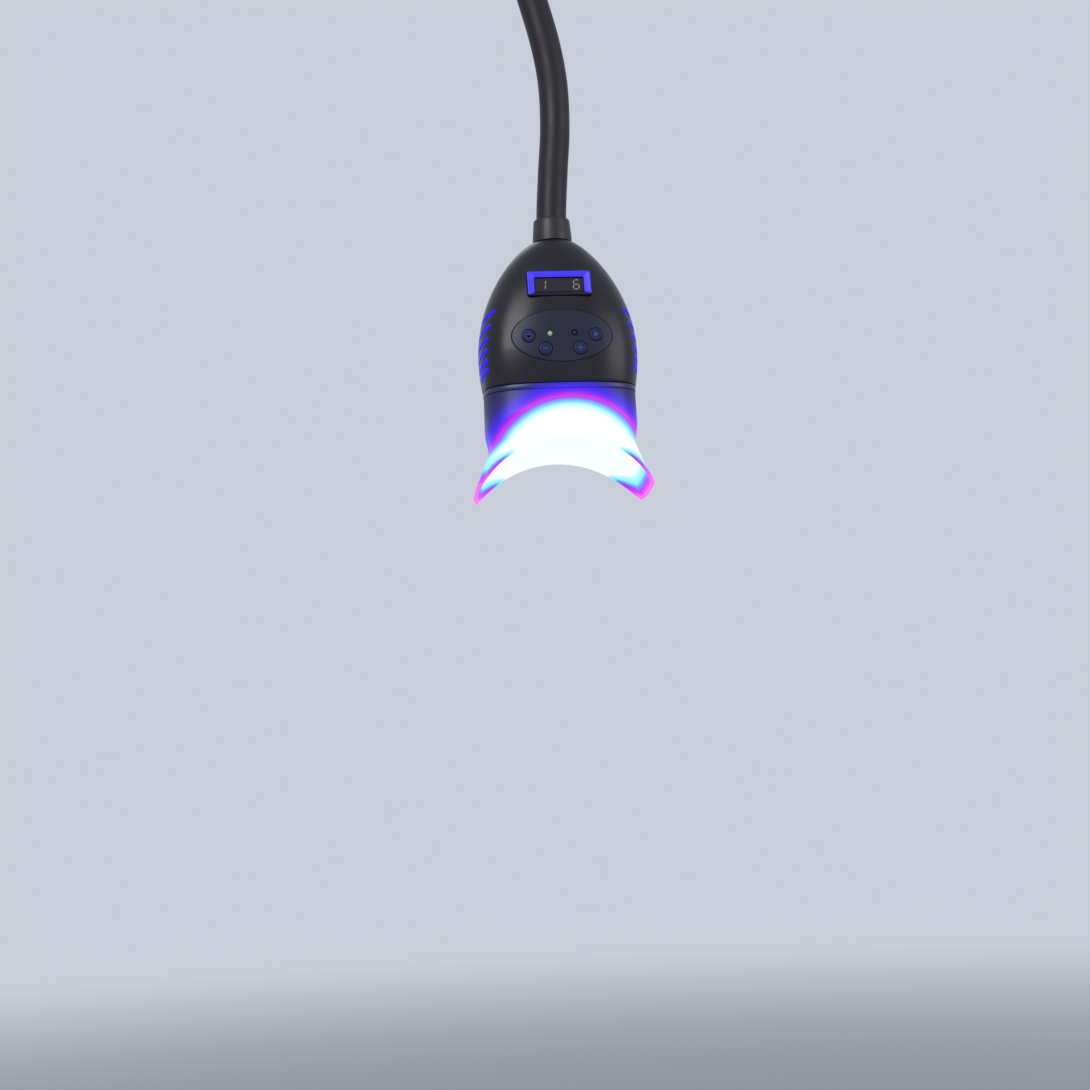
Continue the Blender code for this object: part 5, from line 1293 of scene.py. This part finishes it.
# %% Lock nut, collar and screws
NUT_FOOT, NUT_FLATS, NUT_EASE = -11.7 * MM, 7.5 * MM, 0.05 * MM
SCREW_THREADS, SCREW_SINK, SCREW_TURN, SCREW_MORE = 12, 1.35 * MM, 0.5, 0.7


def hex_ring(flats, height, cap, count=96):
    """A hexagon clipped by a circle, where its corners are turned back."""
    ring = []
    for a in (2 * math.pi * k / count for k in range(count)):
        radius = min(flats / math.cos((a + math.pi / 6) % (math.pi / 3) - math.pi / 6), cap)
        ring.append(Vector((radius * math.cos(a), radius * math.sin(a), height)))
    return ring


levels = in_mm(((0.0, 7.45), (0.12, 7.65), (0.5, 8.3), (0.75, 8.66), (3.75, 8.66), (4.0, 8.3), (4.38, 7.65),
                (4.5, 7.45), (4.5, 5.6), (4.2, 5.3), (0.3, 5.3), (0.0, 5.6)))
rings = [hex_ring(NUT_FLATS - (NUT_EASE if cap < NUT_FLATS else 0.0), NUT_FOOT + z, cap) for z, cap in levels]
place_piece(make_mesh("lock_nut_turned", *loft(rings, wrap=True), metal["nickel"]), "arm_end", "lock_nut")

collar = in_mm((
    (9.6, 0.3), (9.8, 0.5), (9.8, 3.6), (9.7, 4.2), (9.15, 10.6), (9.05, 11.3), (8.75, 11.8), (8.3, 12.0),
    (8.1, 11.8), (8.0, 11.5), (8.0, 2.5), (5.0, 2.5), (5.0, -12.0), (7.1, -12.0), (7.3, -11.8), (7.3, 0.3),
))
place_piece(make_mesh("neck_collar_turned", *lathe(collar, Matrix.Translation(HEAD_TOP), wrap=True), nylon),
            "head", "neck_collar")

screw = [(0.9, 0.62), (1.9, 0.55), (2.25, 0.3), (2.4, 0.0), (2.4, -1.0), (1.3, -1.05), (1.2, -1.3)]
for k in range(SCREW_THREADS):
    screw += [(1.2, -1.5 - k), (0.92, -2.0 - k)]
screw = lathe(in_mm([*screw, (0.9, -14.0), (0.3, -15.0)]), sides=40)
mesh = make_mesh("closing_screw", *screw, metal["zinc"])
for half_u, half_v, slopes_u in ((0.3, 1.35, False), (1.35, 0.3, True)):
    rings = []
    for share, z in ((1.0, 1.2), (1.0, 0.62), (0.45, -0.7)):
        u = half_u * (share if slopes_u else 1) * MM
        v = half_v * (1 if slopes_u else share) * MM
        rings.append([Vector((su * u, sv * v, z * MM)) for su, sv in ((1, 1), (-1, 1), (-1, -1), (1, -1))])
    mesh = carve(mesh, "DIFFERENCE", [loft(rings)], metal["zinc"])
screw_form = in_scene("closing_screw_form", settle(mesh))

screw_rule, given = new_rule("closing_screws", ["Size"])
picked = add_node(screw_rule, "GeometryNodeObjectInfo", {"Object": screw_form})
end_on_points(screw_rule, picked.outputs["Geometry"], given, Scale=given["Size"])
spots = [(on_side("rear", x, d, seat + SCREW_SINK),
          quarter_turn("X", way=-1) @ Matrix.Rotation(SCREW_TURN + SCREW_MORE * k, 3, "Z"))
         for k, ((x, d), seat) in enumerate(zip(SCREWS, SCREW_SEATS))]
place_piece(grown(turned_points("closing_screws", spots), screw_rule, metal["zinc"], {"Size": 1.0}), "head",
            *(f"housing_screw_{k}" for k in range(1, 5)))
bpy.data.objects.remove(screw_form)
print("screws:", len(spots), "collar and nut turned")

# %% [markdown]
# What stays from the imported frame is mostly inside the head: the board, the switches, the
# heat sink, the fan, the emitters and the cores of the neck. They could be made again, but
# their shapes are right as they are, so each only takes its finish, by the first letters of
# its name.

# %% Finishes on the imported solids
FINISHES = (
    (metal["spring"], "gooseneck_core"), (metal["zinc"], "neck_nut neck_washer board_screw housing_screw"),
    (metal["aluminium"], "heat_sink led_board"), (metal["reflector"], "reflector_plate"),
    (laminate, "control_board"), (silicone_pad, "thermal_pad"), (emitter, "blue_led"),
    (smoked, "display_window"), (fan_abs, "display_module tact_switch buzzer fan_"),
)
dressed = 0
for name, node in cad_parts.items():
    for look, starts in FINISHES:
        if name.startswith(tuple(starts.split())):
            node.data.materials.clear()
            node.data.materials.append(look)
            dressed += 1
print("packed solids dressed:", dressed, "of", len(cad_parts))
